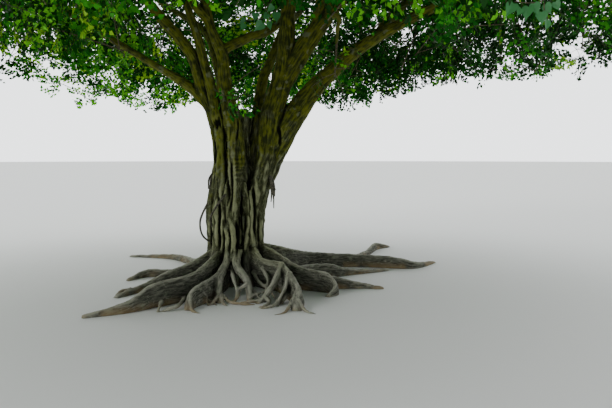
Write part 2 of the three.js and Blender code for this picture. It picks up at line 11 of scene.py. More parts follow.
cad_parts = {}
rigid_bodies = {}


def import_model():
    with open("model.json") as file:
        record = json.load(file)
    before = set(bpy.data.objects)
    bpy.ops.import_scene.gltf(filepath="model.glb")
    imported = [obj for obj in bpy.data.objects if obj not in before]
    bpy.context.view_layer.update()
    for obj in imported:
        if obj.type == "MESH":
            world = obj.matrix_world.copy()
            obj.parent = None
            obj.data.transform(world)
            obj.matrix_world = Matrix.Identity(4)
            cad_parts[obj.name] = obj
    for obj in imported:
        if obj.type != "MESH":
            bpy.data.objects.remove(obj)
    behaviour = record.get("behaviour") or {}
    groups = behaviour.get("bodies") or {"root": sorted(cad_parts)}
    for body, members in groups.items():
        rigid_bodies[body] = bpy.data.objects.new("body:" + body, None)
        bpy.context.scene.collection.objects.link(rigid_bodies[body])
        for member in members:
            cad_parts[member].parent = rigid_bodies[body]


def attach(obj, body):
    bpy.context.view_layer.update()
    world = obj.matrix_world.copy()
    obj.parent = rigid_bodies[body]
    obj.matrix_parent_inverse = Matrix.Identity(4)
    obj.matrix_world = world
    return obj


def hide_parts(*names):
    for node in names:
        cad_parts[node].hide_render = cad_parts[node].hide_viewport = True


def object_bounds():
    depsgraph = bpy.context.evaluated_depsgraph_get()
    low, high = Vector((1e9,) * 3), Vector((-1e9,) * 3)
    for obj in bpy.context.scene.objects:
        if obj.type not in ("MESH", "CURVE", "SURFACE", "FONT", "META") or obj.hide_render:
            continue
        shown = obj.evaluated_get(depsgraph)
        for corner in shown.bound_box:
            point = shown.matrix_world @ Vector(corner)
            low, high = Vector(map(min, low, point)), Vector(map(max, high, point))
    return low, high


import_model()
packed_box = [list(corner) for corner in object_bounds()]

# The trunk: seven stems, a heart and nine flutes of living wood, which have fused as they grew.
# Each is laid here as a tube in the part's own place, in millimetres, and they are grown
# together further down.
FORK = 2150
LEVELS = [-60, 400, 1000, 1600, FORK]
# Each stem: its plan at the trunk's levels, its bough's places above the fork, the widths along both
# and the mass of foliage at its tip.
STEMS = {
    "bough_left_high": (
        [[-410, 30], [-300, 20], [-290, -10], [-200, 0], [-300, 10]],
        [[-430, 0, 2450], [-530, -30, 2810], [-1135, -120, 3580]],
        [250, 180, 170, 170, 180, 155, 80],
        "middle_left",
    ),
    "bough_left_inner": (
        [[-270, -330], [-200, -240], [-180, -200], [-150, -150], [-240, -110]],
        [[-290, -110, 2400], [-365, -110, 2690], [-600, -40, 3450]],
        [210, 150, 140, 140, 150, 80],
        "middle_left_back",
    ),
    "bough_mossy": (
        [[-60, -390], [-50, -270], [-40, -210], [5, -180], [-60, -170]],
        [[-120, -165, 2450], [-150, -150, 2810], [-320, -120, 3260]],
        [240, 190, 200, 225, 200, 150, 80],
        "top_left",
    ),
    "bough_upright": (
        [[300, -120], [215, -60], [230, -60], [390, -40], [460, -40]],
        [[565, -40, 2480], [620, -40, 2750], [660, -10, 3400]],
        [260, 200, 210, 280, 290, 250, 110],
        "top_right",
    ),
    "bough_right_low": (
        [[270, 170], [200, 110], [240, 60], [440, 10], [765, -10]],
        [[930, -20, 2370], [1090, -20, 2540], [1650, 20, 3000]],
        [250, 200, 210, 290, 290, 210, 90],
        "low_right",
    ),
    "bough_back_right": (
        [[90, 340], [80, 220], [100, 180], [150, 150], [250, 180]],
        [[320, 230, 2560], [400, 320, 2780], [540, 700, 3250]],
        [220, 190, 180, 160, 150, 80],
        "low_back",
    ),
    "bough_back_left": (
        [[-210, 310], [-160, 210], [-160, 170], [-140, 140], [-170, 200]],
        [[-220, 330, 2450], [-330, 620, 2850], [-560, 1150, 3350]],
        [240, 200, 190, 180, 170, 80],
        "low_left_back",
    ),
}
HEART_PLAN = [[0, 0], [0, 0], [0, 0], [-20, 10], [70, 50]]
HEART_WIDTHS = [540, 430, 380, 330, 260]
# The flutes' bearings and the height at which each ends, and how far out they stand, across and away.
FLUTES = {205: 1900, 228: 1300, 250: 1900, 296: 1250, 318: 1150}
FLUTES |= {350: 1200, 40: 1900, 100: 1500, 155: 1900}
FLUTE_REACH = [(470, 470), (300, 265), (276, 243.8), (215, 190)]
FLUTE_WIDTHS = [110, 85, 60]
STEM_MOSS = 0.25


def smooth_line(points, shares):
    """Points at shares from 0 to 1 of a line that runs evenly through all the given points."""
    ends = np.vstack([2 * points[0] - points[1], points, 2 * points[-1] - points[-2]])
    place = np.clip(shares, 0, 1) * (len(points) - 1)
    step = np.minimum(place.astype(int), len(points) - 2)
    t = (place - step)[:, None]
    a, b, c, d = (ends[step + k] for k in range(4))
    ab, bc, cd = (np.sum(np.square(q - p), 1, keepdims=True) ** 0.25 for p, q in ((a, b), (b, c), (c, d)))
    leaving = ((b - a) / ab - (c - a) / (ab + bc) + (c - b) / bc) * bc
    coming = ((c - b) / bc - (d - b) / (bc + cd) + (d - c) / cd) * bc
    bend = 3 * (c - b) - 2 * leaving - coming
    twist = 2 * (b - c) + leaving + coming
    return b + leaving * t + bend * t**2 + twist * t**3


def unit(vectors):
    return vectors / np.maximum(np.linalg.norm(vectors, axis=-1, keepdims=True), 1e-9)


class Limb:
    """A length of living wood on a smooth line, with widths at even steps from start to end."""

    def __init__(self, points, widths, start=0.0, end=1.0, piece="trunk", moss=0.0):
        self.points = np.array(points, float) / 1000
        self.widths = np.array(widths, float) / 1000
        self.start, self.end, self.piece, self.moss = start, end, piece, moss
        self.flare, self.mass, self.sides, self.ring_step = 0.0, None, 12, 0.04

    def slim(self):
        """The same limb with fewer corners in rings that stand closer."""
        self.sides, self.ring_step = 8, 0.028
        return self

    def at(self, share):
        return smooth_line(self.points, np.atleast_1d(np.asarray(share, float)))

    def heading(self, share):
        share = np.atleast_1d(np.asarray(share, float))
        return unit(self.at(np.minimum(share + 1e-4, 1)) - self.at(np.maximum(share - 1e-4, 0)))

    def half(self, share):
        even = np.linspace(0, 1, len(self.widths))
        return np.interp(share, even, self.widths) / 2


# What is laid down in one mesh, with the middle, directions and length of each ring kept, so that
# bark can follow the wood that it covers.
laid_corners, laid_faces, ring_of_face, rings = [], [], [], []
limbs = {}
WALL_DEPTH = 0.045


def sweep(limb):
    """Lays a limb as a closed tube of rings, each turned with the line and as wide as it says. A limb
    with a flare is a wall, which stands upright, reaches into the ground and widens downwards."""
    reach = np.linalg.norm(np.diff(limb.at(np.linspace(limb.start, limb.end, 30)), axis=0), axis=1).sum()
    count = max(3, math.ceil(reach / limb.ring_step)) + 1
    shares = np.linspace(limb.start, limb.end, count)
    centres, ahead = limb.at(shares), limb.heading(shares)
    halves = limb.half(np.linspace(0, 1, count))
    side = np.array([1.0, 0, 0]) if abs(ahead[0][0]) < 0.9 else np.array([0, 1.0, 0])
    tube = bmesh.new()
    ring_layer = tube.faces.layers.int.new("ring")
    verts, edges, before, length = [], [], None, 0.0
    for k in range(count):
        front, depth, centre = ahead[k], halves[k], centres[k].copy()
        if limb.flare:
            front = unit(np.array([front[0], front[1], 0]))
            side = np.array([front[1], -front[0], 0])
            up = np.array([0, 0, 1.0])
            depth = (centre[2] + WALL_DEPTH) / 2
            centre[2] -= depth
        else:
            side = unit(side - front * np.dot(side, front))
            up = np.cross(side, front)
        turn = Matrix((side * halves[k], up * depth, front)).transposed().to_4x4()
        here = Matrix.Translation(centre) @ turn
        if k == 0:
            verts = bmesh.ops.create_circle(tube, segments=limb.sides, radius=1, cap_ends=True)["verts"]
            for v in verts:
                v.co.x *= 1 - limb.flare * v.co.y
            bmesh.ops.transform(tube, matrix=here, verts=verts)
            edges = list({e for v in verts for e in v.link_edges})
            faces = list({f for v in verts for f in v.link_faces})
        else:
            length += np.linalg.norm(centres[k] - centres[k - 1])
            made = bmesh.ops.extrude_edge_only(tube, edges=edges)["geom"]
            verts = [g for g in made if isinstance(g, bmesh.types.BMVert)]
            bmesh.ops.transform(tube, matrix=here @ before.inverted(), verts=verts)
            fresh = set(verts)
            edges = [g for g in made if isinstance(g, bmesh.types.BMEdge) and fresh.issuperset(g.verts)]
            faces = [g for g in made if isinstance(g, bmesh.types.BMFace)]
        for f in faces:
            f[ring_layer] = len(rings)
        rings.append((centre, front, side, up, length, limb))
        before = here
    for f in bmesh.ops.contextual_create(tube, geom=edges)["faces"]:
        f[ring_layer] = len(rings) - 1
    tube.verts.index_update()
    first = len(laid_corners)
    laid_corners.extend(v.co.copy() for v in tube.verts)
    for f in tube.faces:
        laid_faces.append([first + v.index for v in f.verts])
        ring_of_face.append(f[ring_layer])
    tube.free()


trunk_limbs = []
for name, (plan, out, widths, mass) in STEMS.items():
    line = [[x, y, z] for (x, y), z in zip(plan, LEVELS)] + out
    limbs[name] = Limb(line, widths[len(LEVELS) - 1 :], piece=name, moss=1.0)
    limbs[name].mass = mass
    trunk_limbs.append(Limb(line, widths[: len(LEVELS)], moss=STEM_MOSS))
heart_line = [[x, y, z] for (x, y), z in zip(HEART_PLAN, LEVELS)]
trunk_limbs.append(Limb(heart_line, HEART_WIDTHS))
for bearing, top in FLUTES.items():
    across, away = math.cos(math.radians(bearing)), math.sin(math.radians(bearing))
    line = [[across * x, away * y, z] for (x, y), z in zip(FLUTE_REACH, [*LEVELS[:3], top])]
    trunk_limbs.append(Limb(line, FLUTE_WIDTHS))

# The boughs: each stem goes on above the fork as a bough to the mass of foliage that it carries,
# and side boughs leave them on the way. Smoother bark, furred with olive moss on top.
BOUGH_SHARE = 0.6
HANGING_SHARE = 0.3
SIDE_ARCH = 0.1
# Each side bough: its parent and the share of the parent's length where it leaves, the places on its
# way, its widths and its mass.
SIDE_BOUGHS = {
    "left_low": (
        "left_high", 0.5, [[-474, 20, 2350], [-665, 40, 2510], [-900, 60, 2650]],
        [150, 120, 70], "low_left",
    ),
    "right_diagonal": (
        "upright", 0.6, [[780, -60, 2810], [1100, -80, 3270], [1430, -100, 3680]],
        [250, 235, 170, 90], "middle_right",
    ),
    "crossing": ("mossy", 0.77, [[110, 60, 3060], [510, 280, 3290]], [130, 110, 70], "middle_back"),
    "right_forward": ("right_diagonal", 0.42, [[1100, -200, 3600]], [130, 120, 80], "middle_front_right"),
    "mossy_fork": ("mossy", 0.87, [[-520, -210, 3520]], [120, 110, 70], "middle_front"),
    "left_forward": ("left_high", 0.9, [], [110, 90, 60], "low_left_front"),
    "front_left": ("mossy_fork", 0.62, [], [100, 85, 60], "low_front_left"),
    "front": ("upright", 0.93, [], [120, 100, 60], "low_front"),
    "front_right": ("right_diagonal", 0.84, [], [110, 95, 60], "low_front_right"),
    "right_back": ("right_low", 0.88, [], [130, 110, 70], "low_right_back"),
    "hanging": ("right_diagonal", 0.5, [[1270, -230, 3280]], [70, 55, 40], "hanging_spray"),
}
CROWN_CENTRE = np.array([0.2, 0, 3.7])
CROWN_REACH = np.array([6.0, 5.5, 5.6])
RING_SHARE = 0.8
SEARCH_REACH = 2.9
FIRST_SEED = 11
# Each ring of masses: how many degrees it is raised, the bearing of its first and their names.
CROWN_RINGS = {
    "low": (12, 0, "right right_back back left_back left left_front front_left front front_right"),
    "middle": (44, 20, "right back left_back left front front_right"),
    "top": (78, 10, "right left"),
}


class Mass:
    """One mass of foliage: its centre, the reach of a small one, the leaf length and its seed."""

    def __init__(self, centre, seed, leaf=1.12, reach=None):
        self.centre, self.seed, self.leaf = np.array(centre, float), seed, leaf
        self.reach, self.small = np.array(reach or [SEARCH_REACH] * 3, float), reach is not None


masses = {}
for level, (lift, first, places) in CROWN_RINGS.items():
    names = places.split()
    for index, place in enumerate(names):
        bearing, rise = math.radians(first + 360 * index / len(names)), math.radians(lift)
        way = [math.cos(bearing) * math.cos(rise), math.sin(bearing) * math.cos(rise), math.sin(rise)]
        centre = np.array(way) * CROWN_REACH * RING_SHARE + CROWN_CENTRE
        masses[f"{level}_{place}"] = Mass(centre, len(masses) + FIRST_SEED)
masses["hanging_spray"] = Mass([1.23, -0.33, 2.62], len(masses) + FIRST_SEED, 0.21, [0.34, 0.25, 0.46])
masses["fork_shoots"] = Mass([0.07, -0.4, 2.29], len(masses) + FIRST_SEED, 0.13, [0.19, 0.16, 0.18])

for limb, bough in zip(trunk_limbs, list(limbs.values())):
    tip = bough.points[-1]
    tip = tip + (masses[bough.mass].centre - tip) * BOUGH_SHARE
    bough.points = limb.points = np.vstack([bough.points, tip])
    bough.start = limb.end = (len(LEVELS) - 1) / (len(bough.points) - 1)
for name, (parent, share, out, widths, mass) in SIDE_BOUGHS.items():
    line = [*(limbs[f"bough_{parent}"].at(share) * 1000).tolist(), *out]
    last = np.array(line[-1])
    onward = HANGING_SHARE if masses[mass].small else BOUGH_SHARE
    line.append((last + (masses[mass].centre * 1000 - last) * onward).tolist())
    if len(line) == 2:
        middle = (np.array(line[0]) + np.array(line[1])) / 2
        middle[2] += np.linalg.norm(np.array(line[0]) - np.array(line[1])) * SIDE_ARCH
        line.insert(1, middle.tolist())
    limbs[f"bough_{name}"] = Limb(line, widths, piece=f"bough_{name}", moss=1.0)
    limbs[f"bough_{name}"].mass = mass

# The roots: wall roots run out over the ground with a rounded ridge, and slim prop roots come down
# in front of them. Hard grey wood, pale along the ridges partly by weathering and partly as painted
# highlight, pale on upward faces as painted light from above, and tan where it meets the ground.
WALL_FLARE = 0.3
# Each root, named without its "root_": the places along its ridge or middle, and its widths.
WALL_ROOTS = {
    "front_left_long": (
        [[-190, -210, 430], [-400, -1030, 285], [-740, -1420, 245], [-960, -1640, 110], [-1330, -1840, 22]],
        [170, 75],
    ),
    "left_upper": (
        [[-290, -50, 430], [-560, -250, 270], [-800, -430, 190], [-1000, -600, 100], [-1260, -1030, 22]],
        [160, 85],
    ),
    "left_arch": ([[-520, -160, 170], [-900, 120, 105], [-1230, 140, 95], [-1400, -120, 22]], [100, 65]),
    "back_left_long": (
        [[-240, 120, 360], [-560, 620, 150], [-1150, 1480, 75], [-1900, 1700, 22]],
        [150, 65],
    ),
    "front_left_short": (
        [[-90, -280, 380], [-150, -900, 250], [-250, -1250, 225], [-325, -1450, 180], [-335, -1570, 30]],
        [130, 85],
    ),
    "front_right": (
        [[200, -150, 500], [350, -450, 355], [565, -650, 345]]
        + [[700, -1000, 290], [800, -1350, 180], [780, -1590, 25]],
        [190, 95],
    ),
    "right_middle": (
        [[240, -40, 500], [544, -200, 370], [792, -550, 280]]
        + [[1149, -750, 220], [1215, -860, 120], [1120, -980, 25]],
        [130, 70],
    ),
    "right_long": (
        [[240, 60, 480], [620, 400, 350], [900, 700, 245], [1550, 900, 175]]
        + [[2130, 760, 160], [2420, 760, 90], [2790, 1200, 22]],
        [180, 80],
    ),
    "right_spur": ([[1480, 880, 120], [1850, 1850, 80], [2080, 2450, 110], [2330, 2700, 25]], [100, 65]),
    "right_arch": (
        [[700, -400, 240], [1000, 0, 200], [1220, 120, 175], [1430, 250, 90], [2020, 560, 22]],
        [105, 60],
    ),
    "right_outer": ([[1060, -690, 200], [1240, -560, 150], [1440, -520, 90], [1810, -560, 22]], [95, 60]),
    "back_right": ([[150, 200, 400], [480, 760, 200], [980, 1380, 120], [1270, 1900, 22]], [160, 75]),
    "back": ([[-20, 240, 420], [80, 820, 230], [-60, 1400, 130], [120, 2050, 22]], [160, 75]),
    "back_left": ([[-160, 200, 400], [-330, 800, 190], [-260, 1350, 100], [-560, 1850, 22]], [150, 70]),
}
PROP_ROOTS = {
    "prop_left": ([[-50, -260, 480], [-90, -620, 255], [-95, -1000, 165], [-60, -1260, -30]], [90, 65]),
    "prop_middle": ([[30, -260, 440], [50, -560, 290], [225, -1000, 155], [270, -1160, -30]], [105, 65]),
    "prop_right": ([[600, -740, 330], [520, -1060, 165], [425, -1190, 45], [350, -1290, -30]], [75, 50]),
    "prop_outer": ([[700, -1020, 290], [655, -1190, 150], [590, -1330, -30]], [70, 48]),
}
# Rootlets and toes, each by the places on its way from the root that it leaves.
ROOTLETS = [
    [[0, -750, 295], [65, -950, 180], [110, -1100, 105], [105, -1200, -20]],
    [[220, -1000, 155], [145, -1080, 115], [130, -1150, 40], [55, -1200, -10]],
    [[255, -700, 230], [365, -850, 120], [465, -950, 75], [545, -1050, -20]],
    [[240, -1150, 20], [325, -1100, 55], [415, -1050, 75]],
    [[360, -1250, 25], [260, -1250, 10], [165, -1280, 5]],
    [[155, -850, 215], [260, -1000, 105], [400, -1200, 10]],
    [[355, -600, 260], [440, -800, 155], [430, -1000, 60], [495, -1200, -10]],
    [[675, -1150, 255], [660, -1230, 175], [615, -1300, 100], [585, -1360, 35], [580, -1400, -20]],
    [[740, -1480, 90], [690, -1600, 20], [640, -1690, 0], [560, -1740, -15]],
    [[800, -1480, 90], [850, -1580, 25], [905, -1660, 0], [980, -1700, -15]],
    [[-380, -1480, 110], [-460, -1555, 40], [-540, -1600, 20], [-625, -1620, -15]],
    [[-330, -1500, 90], [-300, -1590, 20], [-250, -1650, 5], [-190, -1680, -15]],
    [[-185, -1150, 140], [-215, -1250, 65], [-165, -1350, 0]],
    [[-70, -1235, 80], [-120, -1310, 20], [-170, -1370, -15]],
    [[-50, -1235, 80], [-10, -1315, 15], [40, -1380, -15]],
    [[0, -1150, 70], [45, -1270, 25], [125, -1335, 20], [235, -1350, 10], [330, -1330, -10]],
    [[430, -1180, 45], [485, -1290, 20], [455, -1390, 10], [380, -1450, -15]],
    [[590, -1330, 45], [545, -1430, 20], [470, -1480, 10], [395, -1500, -15]],
    [[-250, -1150, 70], [-200, -1250, 25], [-120, -1290, 15], [-70, -1360, -15]],
    [[-625, -1500, 75], [-635, -1580, 25], [-640, -1640, -20]],
    [[-1310, -950, 5], [-1240, -850, 40], [-1150, -800, 60]],
]
ROOTLET_WIDTHS = [42, 34, 24]
for name, (line, widths) in [*WALL_ROOTS.items(), *PROP_ROOTS.items()]:
    limbs[f"root_{name}"] = Limb(line, widths, piece=f"root_{name}")
    limbs[f"root_{name}"].flare = WALL_FLARE if name in WALL_ROOTS else 0.0


def stem_course(start, heading, centre):
    """A mass's stem, which goes on from its bough's tip and bends to a little past its centre."""
    onward = heading * np.linalg.norm(centre - start) * 0.45
    return [start, start + onward, start + (centre - start) * 1.1]


# A stem's girth as a share of its bough's tip, in thousandths, and how much of it is in the skin.
STEM_TAPER = np.array([1000, 820, 620, 460])
STEM_END = 0.75
for limb in trunk_limbs:
    sweep(limb)
trunk_face = BVHTree.FromPolygons(laid_corners, laid_faces)
for limb in limbs.values():
    sweep(limb)
    if limb.mass:
        course = stem_course(limb.at(1)[0], limb.heading(1)[0], masses[limb.mass].centre)
        course = [list(place * 1000) for place in course]
        sweep(Limb(course, limb.widths[-1] * STEM_TAPER, end=STEM_END, piece=limb.piece, moss=limb.moss))
wood_face = BVHTree.FromPolygons(laid_corners, laid_faces)
EYE = Vector((0.88, -7.6, 1.6))
LOOK_REACH = 12


def first_hit(face, start, aim):
    """Where a straight look from start past aim first meets the wood, or None."""
    return face.ray_cast(start, (aim - start).normalized(), LOOK_REACH)[0]


for line in ROOTLETS:
    first = Vector(line[0]) / 1000
    start = first_hit(wood_face, EYE, first) or wood_face.find_nearest(first)[0]
    sweep(Limb([list(start * 1000), *line[1:]], ROOTLET_WIDTHS, piece="root_front_right").slim())

# Slender roots that came down the trunk and fused to its face, half sunk in it. Those at the front
# are where the photograph shows them, and the rest wander down the other sides.
SEEN_ON = -330
# A place is across and up, in millimetres, on an upright plane at SEEN_ON, and the eye looks through
# it at the wood.
FRONT_STRANDS = [
    [(-205, 1640), (-215, 1465), (-240, 1285), (-270, 1105), (-285, 925), (-300, 740), (-315, 435)],
    [(-165, 1800), (-175, 1605), (-190, 1390), (-215, 1210), (-230, 1030), (-250, 850), (-265, 380)],
    [(-165, 1425), (-145, 1250), (-180, 1085), (-215, 925), (-205, 740), (-220, 580), (-210, 415)],
    [(-110, 1320), (-95, 1160), (-125, 980), (-145, 835), (-155, 690), (-155, 505), (-200, 230)],
    [(-135, 850), (-105, 690), (-65, 540), (-40, 395), (-45, 270)],
    [(-125, 940), (-50, 790), (-15, 635), (-15, 450), (-10, 270)],
    [(-105, 795), (-85, 635), (-105, 450), (-105, 250), (-145, 120)],
    [(-70, 1940), (-80, 1765), (-70, 1605), (-50, 1390), (-80, 1250), (-105, 1085)],
    [(50, 1140), (30, 1015), (-30, 850)],
    [(135, 1085), (190, 980), (205, 815), (205, 670), (245, 435), (340, 315)],
    [(50, 960), (40, 740), (45, 560), (35, 360)],
    [(100, 980), (85, 780), (85, 595), (60, 340)],
    [(145, 960), (160, 780), (135, 595), (115, 435), (95, 325)],
    [(335, 995), (320, 815), (310, 635), (335, 485)],
    [(270, 1390), (270, 1250), (290, 1105), (295, 960)],
    [(430, 1565), (400, 1465), (370, 1320), (350, 1175), (315, 1030)],
    [(5, 2025), (-5, 1780), (0, 1480), (35, 1175)],
    [(345, 1900), (330, 1740), (345, 1600), (320, 1450)],
]
STRAND_WIDTHS = [12, 38, 50, 54, 46, 14]
FOOT_STRANDS = [
    ("root_front_left_short", [(-605, -50), (-580, -95), (-580, -210), (-545, -330)]),
    ("root_front_left_short", [(-320, -115), (-375, -165), (-350, -210), (-360, -255)]),
    ("root_front_right", [(675, 140), (710, 20), (675, -85), (600, -195), (555, -240)]),
    ("root_front_right", [(725, 110), (740, -70), (705, -195), (660, -240)]),
    ("root_front_right", [(755, 65), (770, -55), (735, -165), (720, -270), (735, -350)]),
    ("root_front_right", [(795, 20), (810, -70), (810, -180), (770, -285)]),
    ("root_front_right", [(270, 280), (390, 255), (510, 220), (585, 140)]),
]
FOOT_WIDTHS = [14, 38, 44, 34, 14]
DEPTH_JUMP = 0.3
TRUNK_AXIS = Vector((0.05, 0, 0))
BURIED = 0.025
SIDE_STRANDS = 40
SLIM_WIDTHS = [12, 30, 40, 32, 12]
FULL_WIDTHS = [14, 44, 56, 46, 14]
FRONT_BEARINGS = (212, 335)
STRAND_TOPS = (1.1, 2.1)
STRAND_FOOT, STRAND_STEP = 0.3, 0.22
LEAN_FROM, LEAN = 1.3, 0.35
chance = np.random.default_rng(7)


def lay_strand(spots, widths, piece="trunk"):
    """A slim root along the spots found on the wood's face, half sunk, with its ends buried."""
    spots = [spot for spot in spots if spot]
    if len(spots) > 2:
        for end in (0, -1):
            inward = TRUNK_AXIS - spots[end]
            inward.z = 0
            spots[end] = spots[end] + inward.normalized() * BURIED
        sweep(Limb([list(spot * 1000) for spot in spots], widths, piece=piece, moss=STEM_MOSS).slim())


for line in FRONT_STRANDS:
    aims = [Vector((x, SEEN_ON, z)) / 1000 for x, z in line]
    lay_strand([first_hit(trunk_face, EYE, aim) for aim in aims], STRAND_WIDTHS)
for piece, line in FOOT_STRANDS:
    spots = []
    for x, z in line:
        spot = first_hit(wood_face, EYE, Vector((x, SEEN_ON, z)) / 1000)
        if spot and (not spots or abs(spot.y - spots[-1].y) < DEPTH_JUMP):
            spots.append(spot)
    lay_strand(spots, FOOT_WIDTHS, piece)
for index in range(SIDE_STRANDS):
    bearing = 360 * index / SIDE_STRANDS + chance.uniform(-4, 4)
    if FRONT_BEARINGS[0] < bearing < FRONT_BEARINGS[1]:
        continue
    heights = np.arange(chance.uniform(*STRAND_TOPS), STRAND_FOOT, -STRAND_STEP)
    drift = np.cumsum(chance.uniform(-7, 7, len(heights)))
    spots = []
    for height, turn in zip(heights, np.radians(bearing + drift)):
        lean = LEAN * max(0, height - LEAN_FROM)
        middle = Vector((lean * math.cos(turn) + 0.05, 0, height))
        outside = middle + Vector((math.cos(turn), math.sin(turn), 0)) * 2
        spots.append(first_hit(trunk_face, outside, middle))
    lay_strand(spots, SLIM_WIDTHS if index % 3 else FULL_WIDTHS)

# The gaps between the strands, one wide recess where a hollow runs up the trunk, and a knot hole.
RECESS_PLACE, RECESS_HALVES, RECESS_DEPTH = (0.1, 0.76), (0.075, 0.4), 0.085
KNOT_PLACE, KNOT_HALF, KNOT_DEPTH, RIM_HEIGHT = (-0.196, 1.99), 0.032, 0.06, 0.004
# Each gap is its places, as the strands', half its width and its depth, in millimetres.
GAPS = [
    ([(-125, 2085), (-100, 1855), (-100, 1640), (-90, 1465), (-85, 1285), (-60, 1105), (-75, 960)], 24, 75),
    ([(-20, 1550), (-30, 1390), (-25, 1210), (-35, 1030), (-55, 885)], 16, 60),
    ([(-200, 1320), (-200, 1140), (-185, 995), (-180, 850), (-190, 690), (-180, 525), (-200, 395)], 14, 55),
    ([(-220, 1855), (-220, 1640), (-235, 1425)], 11, 32),
    ([(-280, 815), (-280, 635), (-285, 470)], 10, 35),
    ([(15, 815), (20, 635), (25, 450), (10, 250)], 18, 70),
    ([(-75, 725), (-55, 580), (-65, 415), (-75, 250)], 10, 45),
    ([(-130, 690), (-125, 525), (-135, 360)], 10, 40),
    ([(150, 1800), (155, 1625), (180, 1445), (185, 1285), (170, 1160)], 24, 80),
    ([(230, 1250), (240, 1070), (250, 885), (240, 705), (265, 540)], 18, 70),
    ([(290, 870), (285, 690), (290, 525)], 11, 40),
    ([(120, 885), (120, 705), (100, 525), (80, 360)], 12, 45),
    ([(65, 870), (60, 690), (55, 505), (50, 340)], 11, 45),
    ([(535, 1960), (565, 1835), (555, 1710)], 16, 45),
    ([(55, 2065), (50, 1905), (35, 1765)], 11, 30),
    ([(205, 2100), (215, 1975), (230, 1800), (245, 1630), (230, 1455), (210, 1305), (205, 1180)], 38, 95),
]

# All of it grows together in one skin, smooth where wood meets wood, and bark is raised on it along
# the fibres. The skin is then parted again into the trunk, the boughs and the roots.
VOXEL = 0.0136
FLESH_PASSES, MOSS_PASSES, HOLLOW_PASSES, BROAD_PASSES, PARTING_PASSES = 2, 20, 12, 76, 40
laid = bpy.data.meshes.new("laid_wood")
laid.from_pydata(laid_corners, [], laid_faces)
fused = bpy.data.objects.new("laid_wood", laid)
bpy.context.scene.collection.objects.link(fused)
remesh = fused.modifiers.new("grow_together", "REMESH")
remesh.mode = "VOXEL"
remesh.voxel_size = VOXEL
skin = bpy.data.meshes.new_from_object(fused.evaluated_get(bpy.context.evaluated_depsgraph_get()))
bpy.data.objects.remove(fused)


def read(source, field, width, kind=np.float64):
    """A field of every item of a mesh's list, as one array."""
    values = np.empty(len(source) * width, kind)
    source.foreach_get(field, values)
    return values.reshape(-1, width) if width > 1 else values


corners = read(skin.vertices, "co", 3)
pairs = read(skin.edges, "vertices", 2, np.int64)
quads = read(skin.loops, "vertex_index", 1, np.int64).reshape(-1, 4)
ends = np.concatenate([pairs[:, 0], pairs[:, 1]])
others = np.concatenate([pairs[:, 1], pairs[:, 0]])
neighbours = np.bincount(ends, minlength=len(corners))
# A bubble that the wood closes in is a cube, all of whose corners have three neighbours.
cut_off = (neighbours == 3) & (np.bincount(ends, neighbours[others] == 3, len(corners)) == 3)
in_bubble = cut_off[quads].all(1)


def relaxed(values, passes):
    """Each corner's value evened out with its neighbours' a number of times."""
    for _ in range(passes):
        flat = values if values.ndim > 1 else values[:, None]
        sums = [np.bincount(ends, flat[others, k], len(corners)) for k in range(flat.shape[1])]
        values = ((np.stack(sums, 1) / neighbours[:, None] + flat) / 2).reshape(values.shape)
    return values


corners = relaxed(corners, FLESH_PASSES)
skin.vertices.foreach_set("co", corners.ravel())
skin.update()
facing = read(skin.vertex_normals, "vector", 3)
under = BVHTree.FromPolygons(laid_corners, laid_faces)
ring = np.array([ring_of_face[under.find_nearest(place)[2]] for place in corners.tolist()])
ring_frames = np.array([[r[0], r[1], r[2], r[3]] for r in rings])
from_ring = corners - ring_frames[ring, 0]
lengths = np.array([r[4] for r in rings])[ring] + np.sum(from_ring * ring_frames[ring, 1], 1)
FIBRE = 0.14
APART = 7.3
shift = {limb: APART * index for index, limb in enumerate(dict.fromkeys(r[5] for r in rings))}
shifts = np.array([shift[r[5]] for r in rings])[ring]
grain = np.stack(
    [
        np.sum(from_ring * ring_frames[ring, 2], 1) + shifts,
        np.sum(from_ring * ring_frames[ring, 3], 1),
        lengths * FIBRE,
    ],
    1,
)
moss = relaxed(np.array([r[5].moss for r in rings])[ring], MOSS_PASSES)


def drop(places, middle, halves):
    """1 around a middle in the picture's plane and 0 outside its halves, with a steep slope between."""
    (x, z), (wide, high) = middle, halves
    return np.exp(-(((places[0] - x) / wide) ** 4) - ((places[1] - z) / high) ** 4)


def field(places):
    """Smooth noise at each place."""
    return np.array([noise.noise(place) for place in places.tolist()])


# Bark relief, as size and height: cords and threads along the fibres and lumps all over, gentler on
# the mossy boughs and the roots, and a smooth patch creased across on the trunk's front.
CORD_SIZE, CORD_HEIGHT = 0.03, 0.015
THREAD_SIZE, THREAD_HEIGHT = 0.012, 0.004
LUMP_SIZE, LUMP_HEIGHT = 0.09, 0.007
CREASE_PLACE, CREASE_HALVES, CREASE_RATE, CREASE_HEIGHT = (0.05, 1.42), (0.09, 0.17), 125, 0.005
MOSSY, MOSSY_RELIEF = 0.6, 0.55
LOW, LOW_RELIEF = 0.42, 0.5
rough = np.where(moss > MOSSY, MOSSY_RELIEF, 1.0) * np.where(corners[:, 2] < LOW, LOW_RELIEF, 1.0)
creased = drop((corners[:, 0], corners[:, 2]), CREASE_PLACE, CREASE_HALVES) * (corners[:, 1] < -0.1)
rough *= 1 - 0.75 * creased
cords, threads = field(grain / CORD_SIZE), field(grain / THREAD_SIZE + 40)
lumps = field(corners / LUMP_SIZE)
creases = np.sin(corners[:, 2] * CREASE_RATE + lumps * 5) * creased * CREASE_HEIGHT
height = (0.5 - np.abs(cords)) * CORD_HEIGHT * rough + threads * THREAD_HEIGHT * rough
height = relaxed(height + lumps * LUMP_HEIGHT + creases, 1)
corners = corners + facing * height[:, None]

